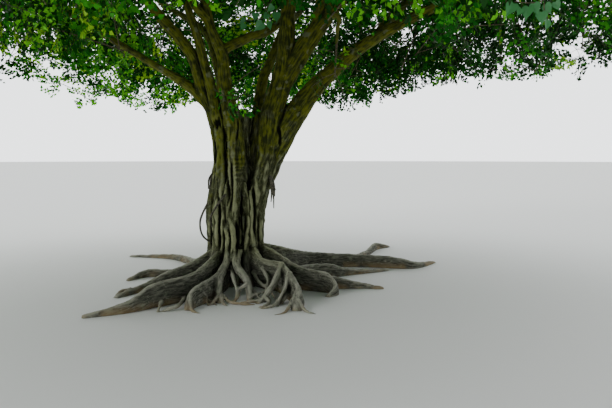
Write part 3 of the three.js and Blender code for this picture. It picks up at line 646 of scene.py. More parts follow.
# What the eye sees of the trunk is carved, and then the skin's own hollows are deepened all round.
CARVED_HALF = 0.75
HOLLOWS_TOP, HOLLOWS_FADE = 2.3, 0.6
DEEPEST, HIGHEST = -0.045, 0.008
front = (facing[:, 1] < 0.1) & (corners[:, 1] < 0.0) & (np.abs(corners[:, 0]) < CARVED_HALF)
front = np.flatnonzero(front)
from_eye = corners[front] - np.array(EYE)
seen_at = np.array(EYE) + from_eye * ((SEEN_ON / 1000 - EYE.y) / from_eye[:, 1:2])
across, up = seen_at[:, 0], seen_at[:, 2]
sunk = np.zeros(len(front))
along = np.linspace(0, 1, 60)
for line, half, depth in GAPS:
    course = smooth_line(np.array(line) / 1000, along)
    away = np.hypot(across[:, None] - course[None, :, 0], up[:, None] - course[None, :, 1])
    fading = np.minimum(1, 1.5 * np.sin(along * math.pi))[away.argmin(1)]
    sunk = np.maximum(sunk, depth / 1000 * fading * np.exp(-((away.min(1) / (half / 1000)) ** 2)))
sunk += RECESS_DEPTH * drop((across, up), RECESS_PLACE, RECESS_HALVES)
from_knot = np.hypot(across - KNOT_PLACE[0], (up - KNOT_PLACE[1]) * 0.6) / KNOT_HALF + cords[front] * 1.5
sunk += KNOT_DEPTH * np.exp(-(np.abs(from_knot) ** 3))
sunk -= RIM_HEIGHT * np.exp(-(((from_knot - 1.7) / 0.5) ** 2))
corners[front, 1] += sunk * np.clip(0.6 - facing[front, 1], 0, 1)
broad = relaxed(corners, HOLLOW_PASSES)
stands = np.sum((corners - broad) * facing, 1)
deep = np.sum((broad - relaxed(broad, BROAD_PASSES)) * facing, 1)
below_fork = np.clip((HOLLOWS_TOP - corners[:, 2]) / HOLLOWS_FADE, 0, 1)
below_fork *= 1 - 0.6 * (corners[:, 2] < 0.4)
corners += facing * (np.clip(stands * 0.5 + deep * 0.9, DEEPEST, HIGHEST) * below_fork)[:, None]
corners[:, 2] = np.maximum(corners[:, 2], 0)
skin.vertices.foreach_set("co", corners.ravel())
skin.update()
facing = read(skin.vertex_normals, "vector", 3)


class Worked:
    """A value in a finish. Sums with it add the nodes that work them out."""

    def __init__(self, finish, socket):
        self.finish, self.socket = finish, socket

    def sum(self, operation, other, swapped=False):
        pair = [other, self] if swapped else [self, other]
        return self.finish.node("Math", {"operation": operation}, dict(enumerate(pair)))

    def __add__(self, other):
        return self.sum("ADD", other)

    def __sub__(self, other):
        return self.sum("SUBTRACT", other)

    def __rsub__(self, other):
        return self.sum("SUBTRACT", other, True)

    def __mul__(self, other):
        return self.sum("MULTIPLY", other)

    __radd__ = __add__

    def rise(self, low, high):
        """0 below low, 1 above high, and a soft slope between them."""
        sockets = {"Value": self, "From Min": low, "From Max": high}
        return self.finish.node("MapRange", {"interpolation_type": "SMOOTHSTEP"}, sockets)


class Finish:
    """A material with one shader, whose nodes are all added through node()."""

    def __init__(self, name):
        self.material = bpy.data.materials.new(name)
        self.material.use_nodes = True
        self.nodes = self.material.node_tree.nodes
        self.shader = self.nodes["Principled BSDF"]

    def feed(self, socket, value):
        if isinstance(value, Worked):
            self.material.node_tree.links.new(value.socket, socket)
        else:
            socket.default_value = value

    def node(self, kind, settings=None, sockets=None, out=0):
        made = self.nodes.new("ShaderNode" + kind)
        for setting, value in (settings or {}).items():
            setattr(made, setting, value)
        for socket, value in (sockets or {}).items():
            self.feed(made.inputs[socket], value)
        return Worked(self, made.outputs[out])

    def attribute(self, name, out=2):
        return self.node("Attribute", {"attribute_name": name}, None, out)

    def place(self):
        return self.node("TexCoord", None, None, 3)

    def shade(self, sockets):
        """Feeds the shader's own sockets and returns the material."""
        for socket, value in sockets.items():
            self.feed(self.shader.inputs[socket], value)
        return self.material

    def mixed(self, share, first, second):
        return self.node("Mix", {"data_type": "RGBA"}, {0: share, 6: first, 7: second}, 2)

    def grainy(self, vector, scale, detail=4.0):
        return self.node("TexNoise", None, {"Vector": vector, "Scale": scale, "Detail": detail})


# Painted shade: a near-black mixed into the bark's hollows and between its cords, where shade falls.
PAINTED_CREVICE_SHADE = (0.006, 0.006, 0.002, 1)
BARK_DARK = (0.023, 0.026, 0.01, 1)
BARK_GREY = (0.084, 0.092, 0.04, 1)
BARK_PALE = (0.33, 0.35, 0.19, 1)
ROOT_DARK = (0.032, 0.033, 0.025, 1)
ROOT_GREY = (0.115, 0.116, 0.088, 1)
ROOT_PALE = (0.345, 0.345, 0.27, 1)
FOOT_TAN = (0.24, 0.17, 0.08, 1)
MOSS_OLIVE = (0.018, 0.026, 0.002, 1)
MOSS_GOLD = (0.145, 0.16, 0.006, 1)
LICHEN = (0.2, 0.225, 0.15, 1)


def bark(name, mossy):
    """Fibrous bark: painted shade in its hollows, pale on its ridges partly by weathering and partly as
    painted highlight, pale on upward root faces as painted light, mossy above and tan at the ground.
    """
    finish = Finish(name)
    fibre, stands_out = finish.attribute("grain", 1), finish.attribute("stands")
    deepness, mossiness = finish.attribute("deep"), finish.attribute("moss")
    place = finish.place()
    up = finish.node("SeparateXYZ", None, {0: place}, 2)
    skyward = finish.node("SeparateXYZ", None, {0: finish.node("NewGeometry", None, None, 1)}, 2)
    streaks = finish.grainy(fibre, 70.0, 6.0)
    flakes = finish.grainy(fibre, 190.0, 4.0)
    patches = finish.grainy(place, 3.2, 5.0)
    specks = finish.grainy(place, 24.0, 4.0)
    higher = up.rise(0.2, 0.5)
    dark = finish.mixed(higher, ROOT_DARK, BARK_DARK)
    pale = finish.mixed(higher, ROOT_PALE, BARK_PALE)
    tone = finish.mixed(streaks.rise(0.32, 0.68), dark, finish.mixed(higher, ROOT_GREY, BARK_GREY))
    # Pale on the ridges: partly the bark's own weathering, partly a painted highlight where the ridges
    # catch light.
    tone = finish.mixed((stands_out + streaks * 0.9 - 0.45).rise(0.05, 0.85) * 0.8, tone, pale)
    tone = finish.mixed((flakes * specks).rise(0.3, 0.42) * 0.45, tone, pale)
    tone = finish.mixed((1.0 - flakes).rise(0.56, 0.68) * 0.55, tone, dark)
    # Painted light: upward-facing surfaces low on the tree turn pale as if lit from above, broken up by the
    # streaks.
    painted_top_light = skyward.rise(0.3, 0.9) * (1.0 - up.rise(0.3, 0.55)) * streaks.rise(0.2, 0.6)
    tone = finish.mixed(painted_top_light * 0.6, tone, pale)
    green = patches + specks * 0.35 + mossiness * 0.34 * mossy + skyward * 0.08
    green = (green + up.rise(0.9, 1.8) * 0.2).rise(0.78, 1.0) * up.rise(0.4, 1.6)
    golden = finish.grainy(fibre, 60.0, 5.0) * 0.55 + finish.grainy(place, 13.0, 6.0) * 0.45
    # Golden moss on the ridges and olive in the valleys: partly the moss's own tone, partly painted
    # highlight and shade.
    golden = (golden + stands_out * 0.2).rise(0.41, 0.66)
    moss_tone = finish.mixed(golden, MOSS_OLIVE, MOSS_GOLD)
    tone = finish.mixed(green * 0.85, tone, moss_tone)
    spots = (finish.grainy(place, 9.0, 6.0) + patches * 0.2).rise(0.7, 0.78)
    tone = finish.mixed(spots * 0.5, tone, LICHEN)
    foot = (1.0 - up.rise(0.0, 0.11)) * patches.rise(0.42, 0.6)
    tone = finish.mixed(foot * 0.65, tone, FOOT_TAN)
    # Painted shade: the hollows (deep) and the gaps between cords (stands) darken to near black, weaker on
    # the roots than higher up.
    crevice_shade_share = 0.45 + up.rise(0.25, 0.55) * 0.5
    tone = finish.mixed((0.0 - deepness).rise(0.05, 0.8) * 0.85, tone, PAINTED_CREVICE_SHADE)
    tone = finish.mixed((0.0 - stands_out).rise(-0.1, 0.6) * crevice_shade_share, tone, PAINTED_CREVICE_SHADE)
    roughness = 0.93 - stands_out.rise(0.1, 0.9) * 0.15
    relief = streaks * 0.6 + flakes * 0.3 + specks * 0.25
    bump = finish.node("Bump", None, {"Strength": 0.7, "Distance": 0.012, "Height": relief})
    return finish.shade(
        {"Base Color": tone, "Specular IOR Level": 0.2, "Roughness": roughness, "Normal": bump}
    )


def add_piece(name, corners, faces, material, slot, nodes):
    """A piece from arrays of corners and faces, which rides with the tree in place of the nodes."""
    mesh = bpy.data.meshes.new(name)
    mesh.vertices.add(len(corners))
    mesh.vertices.foreach_set("co", corners.astype(np.float32).ravel())
    mesh.loops.add(faces.size)
    mesh.loops.foreach_set("vertex_index", faces.astype(np.int32).ravel())
    mesh.polygons.add(len(faces))
    mesh.polygons.foreach_set("loop_start", np.arange(0, faces.size, faces.shape[1], dtype=np.int32))
    mesh.update(calc_edges=True)
    mesh.materials.append(material)
    piece = bpy.data.objects.new(name, mesh)
    bpy.context.scene.collection.objects.link(piece)
    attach(piece, "root")
    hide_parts(*nodes)
    return piece


def part_skin(name, chosen, material, slot, nodes):
    """One piece of the skin, with the bark's own attributes and the whole skin's shading."""
    kept, faces = np.unique(quads[chosen], return_inverse=True)
    mesh = add_piece(name, corners[kept], faces.reshape(-1, 4), material, slot, nodes).data
    for label, kind, values in (
        ("grain", "FLOAT_VECTOR", grain),
        ("stands", "FLOAT", np.clip(stands / 0.012, -1, 1)),
        ("deep", "FLOAT", np.clip(deep / 0.02, -1, 1)),
        ("moss", "FLOAT", moss),
    ):
        column = mesh.attributes.new(label, kind, "POINT")
        column.data.foreach_set("vector" if values.ndim > 1 else "value", values[kept].ravel())
    mesh.shade_smooth()
    mesh.normals_split_custom_set_from_vertices(facing[kept].tolist())


trunk_bark, bough_bark, root_bark = bark("trunk_bark", 0.8), bark("bough_bark", 1.0), bark("root_bark", 0.2)
# Each part of the skin: its nodes, its material and its slot. Borders between parts are evened out.
parts = {"trunk_bark": (["trunk"], trunk_bark, "trunk_bark")}
for label, start, material, slot in (
    ("boughs", "bough_", bough_bark, "bough_bark"),
    ("roots", "root_", root_bark, "root_bark"),
):
    for side, sign in (("left", -1), ("right", 1)):
        chosen = [n for n in limbs if n.startswith(start) and (limbs[n].at(0.9)[0][0] < 0.05) == (sign < 0)]
        parts[f"{label}_{side}"] = (chosen, material, slot)
wood_of_corner = np.array([r[5].piece for r in rings])[ring]
shares = [relaxed(np.isin(wood_of_corner, nodes) * 1.0, PARTING_PASSES) for nodes, _, _ in parts.values()]
part_of_quad = np.where(in_bubble, -1, np.argmax(shares, 0)[quads[:, 0]])
for index, (name, (nodes, material, slot)) in enumerate(parts.items()):
    part_skin(name, part_of_quad == index, material, slot, nodes)

# Three slim roots hang free of the trunk: a loop, a diagonal and a ragged tuft of dark ends. They
# are wood as thick as a finger, and go into the trunk at the top.
KINKS = 0.006
# Each root: the places of its strands, and a strand's widths at the top and at the end.
AERIAL_ROOTS = {
    "aerial_root_loop": (
        [
            [[-240, -60, 1210], [-372, -70, 990], [-465, -80, 760], [-425, -70, 590], [-330, -60, 480]],
            [[-215, -60, 1480], [-300, -75, 1380], [-345, -80, 1290], [-352, -80, 1170]],
            [[-240, -60, 1420], [-310, -75, 1300], [-330, -80, 1180]],
        ],
        [30, 22],
    ),
    "aerial_root_diagonal": (
        [[[-110, -280, 1120], [-190, -345, 990], [-300, -290, 830], [-300, -150, 700]]],
        [30, 24],
    ),
    "aerial_root_tuft": (
        [
            [[400, -90, 1400], [448, -130, 1240], [465, -135, 1080], [474, -135, 930]],
            [[400, -90, 1400], [455, -140, 1250], [500, -145, 1160]],
            [[410, -90, 1390], [440, -125, 1260], [448, -130, 1120], [440, -130, 1010]],
            [[410, -90, 1390], [462, -120, 1240], [482, -128, 1150], [486, -130, 1080]],
        ],
        [45, 12],
    ),
}


def round_ways(ahead, sides):
    """Directions evenly all round each line that runs ahead."""
    side = unit(np.cross(ahead, [0.31, 0.17, 0.93]))
    up = np.cross(side, ahead)
    turns = np.arange(sides) * 2 * math.pi / sides
    return np.cos(turns)[None, :, None] * side[:, None] + np.sin(turns)[None, :, None] * up[:, None]


def tube_faces(count, sides, closed=True):
    """Triangles between the rings of one tube, with a fan closing each end."""
    faces = []
    for k in range(count - 1):
        for s in range(sides):
            a, b = k * sides + s, k * sides + (s + 1) % sides
            faces += [[a, b, b + sides], [a, b + sides, a + sides]]
    last = (count - 1) * sides
    for s in range(1, sides - 1) if closed else ():
        faces += [[0, s + 1, s], [last, last + s, last + s + 1]]
    return np.array(faces)


def tube(limb, count, sides):
    """Corners and triangles of a tube of some rings along a limb."""
    shares = np.linspace(limb.start, limb.end, count)
    halves = limb.half(np.linspace(0, 1, count))
    out = round_ways(limb.heading(shares), sides) * halves[:, None, None]
    return (limb.at(shares)[:, None] + out).reshape(-1, 3), tube_faces(count, sides)


def stacked(shapes):
    """Corner and face arrays of several shapes as one pair."""
    starts = np.cumsum([0] + [len(corners) for corners, _ in shapes[:-1]])
    faces = [faces + start for (_, faces), start in zip(shapes, starts)]
    return np.vstack([corners for corners, _ in shapes]), np.vstack(faces)


def twig_finish(name, dark, light, scale):
    """Thin bark, streaked from dark to light."""
    finish = Finish(name)
    streaks = finish.grainy(finish.place(), scale, 5.0)
    tone = finish.mixed(streaks.rise(0.35, 0.65), (*dark, 1), (*light, 1))
    bump = finish.node("Bump", None, {"Strength": 0.5, "Distance": 0.004, "Height": streaks})
    return finish.shade({"Base Color": tone, "Roughness": 0.85, "Normal": bump})


aerial_bark = twig_finish("aerial_root_bark", (0.024, 0.022, 0.014), (0.13, 0.122, 0.08), 60.0)
aerial_shapes = []
for name, (courses, widths) in AERIAL_ROOTS.items():
    for course in courses:
        strand = Limb(course, widths)
        kinks = chance.normal(0, KINKS, (len(strand.points), 3))
        kinks[[0, -1]] = 0
        strand.points = strand.points + kinks
        limbs[name] = strand
        aerial_shapes.append(tube(strand, 24, 8))
aerial = add_piece("aerial_roots", *stacked(aerial_shapes), aerial_bark, "root_bark", AERIAL_ROOTS)
aerial.data.shade_smooth()

# The crown's wood: a stem goes on from each bough's tip, and twigs set off from the nearest point
# already grown to places of their own. The first few in each mass are the part's own.
HOLLOW = np.array([2.5, 2.4, 1.6])
UNDERSIDE, TILT = 2.7, -0.03
# Where the underside droops, lifts and opens to the sky: across, away, how far round and how much.
DROOPS = [(1.94, -4.75, 0.7, 0.62), (0.48, -3.3, 0.45, 0.33)]
LIFTS = [(4.2, 3.5, 2.2, 0.62), (-3.6, 2.2, 1.7, 0.8), (-2.9, 0.5, 1.6, 0.3), (-0.6, -4.3, 1.3, 0.45)]
SKY_GAP = (-3.6, 2.2, 1.9, 0.4)
# Left of the trunk finer leaves fill the hollow, up to an edge that leans outward with its height.
CURTAIN_EDGE, CURTAIN_LEAN = -1.05, 0.4
LEAF_WIDTH, LEAF_BELLY, LEAF_ROOM = 0.58, 0.42, 0.03
CLEAR_STEP, CLEAR_ABOVE = 0.06, 1.9
clear_points, clear_halves = [], []
for limb in [*limbs.values(), *trunk_limbs]:
    span = np.linalg.norm(np.diff(limb.at(np.linspace(limb.start, limb.end, 60)), axis=0), axis=1).sum()
    shares = np.linspace(0, 1, math.ceil(span / CLEAR_STEP) + 1)
    clear_points.append(limb.at(limb.start + (limb.end - limb.start) * shares))
    clear_halves.append(limb.half(shares))
clear_points, clear_halves = np.vstack(clear_points), np.concatenate(clear_halves)
above = clear_points[:, 2] > CLEAR_ABOVE
clear_points, clear_halves = clear_points[above], clear_halves[above]


def tree_of(points):
    """A tree in which the nearest of the points is found."""
    tree = KDTree(len(points))
    for index, point in enumerate(points):
        tree.insert(point, index)
    tree.balance()
    return tree


clear_tree = tree_of(clear_points.tolist())


def clear_of_limbs(points, room=LEAF_ROOM):
    """Which points stand clear of every limb, or of the nearest one where there are many points."""
    if len(points) < 50:
        apart = np.linalg.norm(points[:, None] - clear_points[None], axis=2) - clear_halves
        return apart.min(1) > room
    near = [clear_tree.find(point)[1:] for point in points.tolist()]
    return np.array([away > clear_halves[index] + room for index, away in near], bool)


def greatest(points, places):
    """How much the strongest of the places adds at each point."""
    return np.max(
        [
            most * np.maximum(0, 1 - np.hypot(points[:, 0] - x, points[:, 1] - y) / reach)
            for x, y, reach, most in places
        ],
        axis=0,
    )


def underside_at(points):
    """The height of the lowest leaves, lower where a spray droops and higher at the openings."""
    return UNDERSIDE + TILT * points[:, 1] - greatest(points, DROOPS) + greatest(points, LIFTS)


def in_dome(points, finer=False):
    """Inside the crown's dome, outside the hollow under it and above its lowest leaves."""
    out = points - CROWN_CENTRE
    hollow = (np.linalg.norm(out / HOLLOW, axis=1) < 1) & (out[:, 2] < HOLLOW[2])
    if finer:
        hollow &= points[:, 0] > CURTAIN_EDGE - CURTAIN_LEAN * (points[:, 2] - UNDERSIDE)
    fine = (np.linalg.norm(out / CROWN_REACH, axis=1) <= 1) & ~hollow
    return fine & (points[:, 2] >= underside_at(points))


# Foliage may stand past the part's box by a share of it. Its lower edge hangs a little below the
# dome's underside and is ragged, and its outer surface swells and sinks by two sizes of lump.
BOX_ROOM = 0.024
HANG, RAGGED, RAGGED_LIFT, RAGGED_RATE = 0.1, 0.45, 0.3, 1.1
SWELL, BROAD_RATE, BROAD_SWELL, SMALL_RATE, SMALL_SWELL = 0.93, 2.4, 0.13, 6.5, 0.07
SPARED_REACH = 0.28
box_low, box_high = np.array(packed_box[0]), np.array(packed_box[1])
box_room = (box_high - box_low) * BOX_ROOM


def outness_of_dome(points):
    return np.linalg.norm((points - CROWN_CENTRE) / CROWN_REACH, axis=-1)


def swell(points):
    """How far out the foliage stands at each point, as a share of the dome's reach."""
    ways = unit((points - CROWN_CENTRE) / CROWN_REACH)
    broad, small = field(ways * BROAD_RATE), field(ways * SMALL_RATE + 9)
    return np.minimum(SWELL + BROAD_SWELL * broad + SMALL_SWELL * small, 1.0)


def in_box(points):
    """No further past the part's own box than foliage may stand."""
    return (points > box_low - box_room).all(1) & (points < box_high + box_room).all(1)


def in_crown(points, spared=None):
    """In the box, and in the dome as it swells and as its lower edge rises and falls. The foliage
    close to the spared twigs stays, so that none of them hangs bare."""
    fine = in_dome(points + np.array([0, 0, HANG]), True) | in_dome(points, True)
    ragged = field(points * [RAGGED_RATE, RAGGED_RATE, 0] + [0, 0, 7])
    lift = RAGGED * (ragged + RAGGED_LIFT) + greatest(points, [SKY_GAP])
    kept = points[:, 2] > underside_at(points) - HANG + lift
    kept &= outness_of_dome(points) < swell(points) + 0.02
    if spared:
        for index in np.flatnonzero(fine & ~kept):
            kept[index] = spared.find(points[index])[2] < SPARED_REACH
    return fine & kept & in_box(points)


SMALL_ROOM, HALF_GAP = 1.05, 0.004


def in_space(mass, points, finer=False):
    """In a mass's own space: an oval, or the dome's part nearer to its centre than any other."""
    if mass.small:
        return np.linalg.norm((points - mass.centre) / mass.reach, axis=1) < 1
    fine = in_dome(points, finer)
    for other in masses.values():
        if other is mass:
            continue
        if other.small:
            fine &= np.linalg.norm((points - other.centre) / other.reach, axis=1) >= SMALL_ROOM
            continue
        towards = other.centre - mass.centre
        span = np.linalg.norm(towards)
        fine &= (points - mass.centre) @ (towards / span) <= span / 2 - HALF_GAP
    return fine


class Draws:
    """Repeatable random numbers from 0 to 1, the part's own for the same seed."""

    def __init__(self, seed, count=9000):
        mask = np.uint64(0xFFFFFFFF)
        state = (np.uint64(seed) + np.arange(1, count + 1, dtype=np.uint64) * np.uint64(0x6D2B79F5)) & mask
        mixed = ((state ^ (state >> np.uint64(15))) * (state | np.uint64(1))) & mask
        stirred = ((mixed ^ (mixed >> np.uint64(7))) * (mixed | np.uint64(61))) & mask
        mixed ^= (mixed + stirred) & mask
        self.numbers = (mixed ^ (mixed >> np.uint64(14))).astype(float) / 4294967296
        self.used = 0

    def peek(self, count):
        return self.numbers[self.used : self.used + count]

    def take(self, count):
        taken = self.peek(count)
        self.used += count
        return taken


def middle_and_reach(mass):
    return (mass.centre, mass.reach) if mass.small else (CROWN_CENTRE, CROWN_REACH)


def outward(mass, points):
    middle, reach = middle_and_reach(mass)
    return unit((points - middle) / reach / reach)


def outness(mass, points):
    middle, reach = middle_and_reach(mass)
    return np.linalg.norm((points - middle) / reach, axis=-1)


OUTER_BAND = (0.68, 0.97)
TRIED, ENOUGH = 1200, 14


def next_place(mass, taken, draws):
    """Of some random points in the space, the one furthest from those in use."""
    points = (draws.peek(TRIED).reshape(-1, 3) * 2 - 1) * mass.reach + mass.centre
    fine = in_space(mass, points)
    if not mass.small:
        out = outness(mass, points)
        fine &= (out >= OUTER_BAND[0]) & (out <= OUTER_BAND[1])
    found = np.flatnonzero(fine)[:ENOUGH]
    draws.take(3 * (found[-1] + 1) if len(found) == ENOUGH else TRIED)
    if not len(found):
        return None
    room = np.linalg.norm(points[found][:, None] - np.array(taken)[None], axis=2).min(1)
    return points[found[room.argmax()]]


BLADE_SPOTS = [
    (ahead, sideways * LEAF_WIDTH * min(ahead / LEAF_BELLY, (1 - ahead) / (1 - LEAF_BELLY)))
    for ahead in (0.15, LEAF_BELLY, 0.7, 1)
    for sideways in (-0.5, -0.25, 0, 0.25, 0.5)
]


def leaf_fits(mass, root, direction, normal, length):
    across = np.cross(direction, normal)
    points = np.array([root + (direction * a + across * s) * length for a, s in BLADE_SPOTS])
    return in_space(mass, points).all() and clear_of_limbs(points).all()


def turned(vector, axis, angle):
    return (
        vector * math.cos(angle)
        + np.cross(axis, vector) * math.sin(angle)
        + axis * np.dot(axis, vector) * (1 - math.cos(angle))
    )


def lying(way, normal, fall, turn):
    """A direction at right angles to the normal, along the way as it falls, turned by degrees."""
    ahead = way + np.array([0, 0, -fall])
    return turned(unit(ahead - normal * np.dot(ahead, normal)), normal, math.radians(turn))


class Twig:
    """A twig on the one that it grew from, how many grow on it in turn, and a stem's own width."""

    def __init__(self, points, parent=None, width=None):
        self.limb = Limb(np.array(points) * 1000, [10, 10])
        self.parent, self.carries, self.width = parent, 0, width
        while parent is not None:
            parent.carries += 1
            parent = parent.parent


# Where sprays leave a twig, as shares of its length, and how many degrees each is turned.
FIRST_SPRAYS = ((0.97, 0), (0.78, 70), (0.6, -70))
FINER_SPRAYS = ((0.98, 0), (0.74, 62), (0.52, -62))
ATTEMPTS, WIDER_TURN, CROWDED = 9, 50, 0.56


def first_sprays(mass, twig, sprays, draws):
    """The part's own leaves on a twig, each of which stands for a whole spray."""
    for share, turn in FIRST_SPRAYS:
        root, heading = twig.limb.at(share)[0], twig.limb.heading(share)[0]
        for attempt in range(ATTEMPTS):
            draw = draws.take(5)
            normal = unit(outward(mass, root) + (draw[:3] - 0.5) * 0.6)
            direction = lying(heading, normal, 0.35, turn + (draw[3] - 0.5) * WIDER_TURN * (attempt + 1))
            length = mass.leaf * (0.85 + 0.3 * draw[4])
            middle = root + direction * length * LEAF_BELLY
            crowded = any(np.linalg.norm(spray[4] - middle) < CROWDED * length for spray in sprays)
            if not crowded and leaf_fits(mass, root, direction, normal, length):
                sprays.append((root, direction, normal, length, middle))
                break


# For a big mass and for a small one: its first twigs, the places tried for finer twigs, how many of
# those there are, the sprays on each and their length.
FIRST_TWIGS, FINER_PLACES, FINER_TWIGS = (6, 4), (26000, 1200), (108, 7)
FINER_SPRAY_COUNT, FINER_LENGTH = (3, 2), (0.6, 0.14)
MOST_PLACES = 3000
# Finer twigs grow only this near to the crown's surface, its hollow and its underside.
EDGE_DEPTH, HOLLOW_DEPTH, UNDER_DEPTH = 0.16, 1.3, 0.55
TWIG_ROOM, LEAST_ROOM = 0.05, 0.02
FIRST_ARCH, FINER_ARCH, FINER_BEND = 0.08, 0.1, 0.04
STEM_WIDTH = 0.85
FORK_POINT, FORK_WIDTH = np.array([0.04, -0.23, 2.08]), 0.034
twigs, big_sprays, fine_sprays, small_sprays, first_points = [], [], [], [], []
for name, mass in masses.items():
    draws = Draws(mass.seed)
    bough = next((limb for limb in limbs.values() if limb.mass == name), None)
    start = bough.at(1)[0] if bough else FORK_POINT
    heading = bough.heading(1)[0] if bough else unit(mass.centre - start)
    width = bough.widths[-1] * STEM_WIDTH if bough else FORK_WIDTH
    stem = Twig(stem_course(start, heading, mass.centre), None, width)
    grown = [stem]
    joints = [(point, stem) for point in stem.limb.at([0.3, 0.45, 0.6, 0.75, 0.9, 0.99])]
    taken = [point for point, _ in joints]
    sprays = []
    for _ in range(FIRST_TWIGS[mass.small]):
        place = next_place(mass, taken, draws)
        if place is None:
            continue
        taken.append(place)
        nearest_joint = min((point for point, _ in joints), key=lambda p: np.linalg.norm(p - place))
        middle = (nearest_joint + place) / 2
        middle[2] += np.linalg.norm(nearest_joint - place) * FIRST_ARCH
        twig = Twig([nearest_joint, middle, place], stem)
        tried = twig.limb.at([0.3, 0.5, 0.7, 0.85, 1])
        if not (in_space(mass, tried).all() and clear_of_limbs(tried).all()):
            continue
        grown.append(twig)
        first_sprays(mass, twig, sprays, draws)
    for twig in grown[1:]:
        joints += [(point, twig) for point in twig.limb.at([0.25, 0.5, 0.75, 0.98])]
        first_points += list(twig.limb.at(np.linspace(0.3, 1, 8)))
    (small_sprays if mass.small else big_sprays).extend(sprays)

    # Finer twigs: the same rule again, with places taken one by one as far as may be from the rest.
    local = np.random.default_rng(mass.seed)
    points = local.uniform(-1, 1, (FINER_PLACES[mass.small], 3)) * mass.reach + mass.centre
    points = points[in_space(mass, points, True)]
    if not mass.small:
        out, skin_at = outness(mass, points), swell(points)
        inner = np.linalg.norm((points - CROWN_CENTRE) / HOLLOW, axis=1)
        near_edge = (out > skin_at - EDGE_DEPTH) | (inner < HOLLOW_DEPTH)
        near_edge |= points[:, 2] < underside_at(points) + UNDER_DEPTH
        points = points[near_edge & (out < skin_at)]
    points = points[:MOST_PLACES]
    points = points[clear_of_limbs(points, TWIG_ROOM)]
    if not mass.small:
        points = points[in_crown(points)]
    room = np.linalg.norm(points[:, None] - np.array(taken)[None], axis=2).min(1)
    for _ in range(FINER_TWIGS[mass.small]):
        if not len(points) or room.max() < LEAST_ROOM:
            break
        place = points[room.argmax()]
        room = np.minimum(room, np.linalg.norm(points - place, axis=1))
        root, parent = min(joints, key=lambda joint: np.linalg.norm(joint[0] - place))
        away = np.linalg.norm(place - root)
        middle = (root + place) / 2 + local.normal(0, FINER_BEND, 3) * away
        middle[2] += away * FINER_ARCH
        twig = Twig([root, middle, place], parent)
        grown.append(twig)
        joints += [(point, twig) for point in twig.limb.at([0.5, 0.98])]
        for share, turn in FINER_SPRAYS[: FINER_SPRAY_COUNT[mass.small]]:
            base, way = twig.limb.at(share)[0], twig.limb.heading(share)[0]
            normal = unit(outward(mass, base) + np.array([0, 0, 0.35]) + local.normal(0, 0.38, 3))
            direction = lying(way, normal, 0.3, turn + local.normal(0, 14))
            length = FINER_LENGTH[mass.small] * local.uniform(0.8, 1.15)
            (small_sprays if mass.small else fine_sprays).append((base, direction, normal, length, base))
    twigs += grown

# The finest twigs and the leaves: a spray is a twiglet with shorter ones to either side, and leaves
# by turns along them, each folded along its midrib and drawn out to a drip tip.
SPRAY_ANGLE = math.radians(50)
SPRAY_BEND = 0.1
TWIGLETS_FROM, TWIGLETS_OVER, TWIGLET_FALL, TWIGLET_WANDER = 0.12, 0.78, 0.12, 0.14
LEAF_SPREAD, LEAF_WANDER, LEAF_FALL, LEAF_ROLL = 0.75, 0.4, 0.25, 0.38
LEAF_SIZES = (0.72, 1.2)
leaf_tint = np.random.default_rng(31)


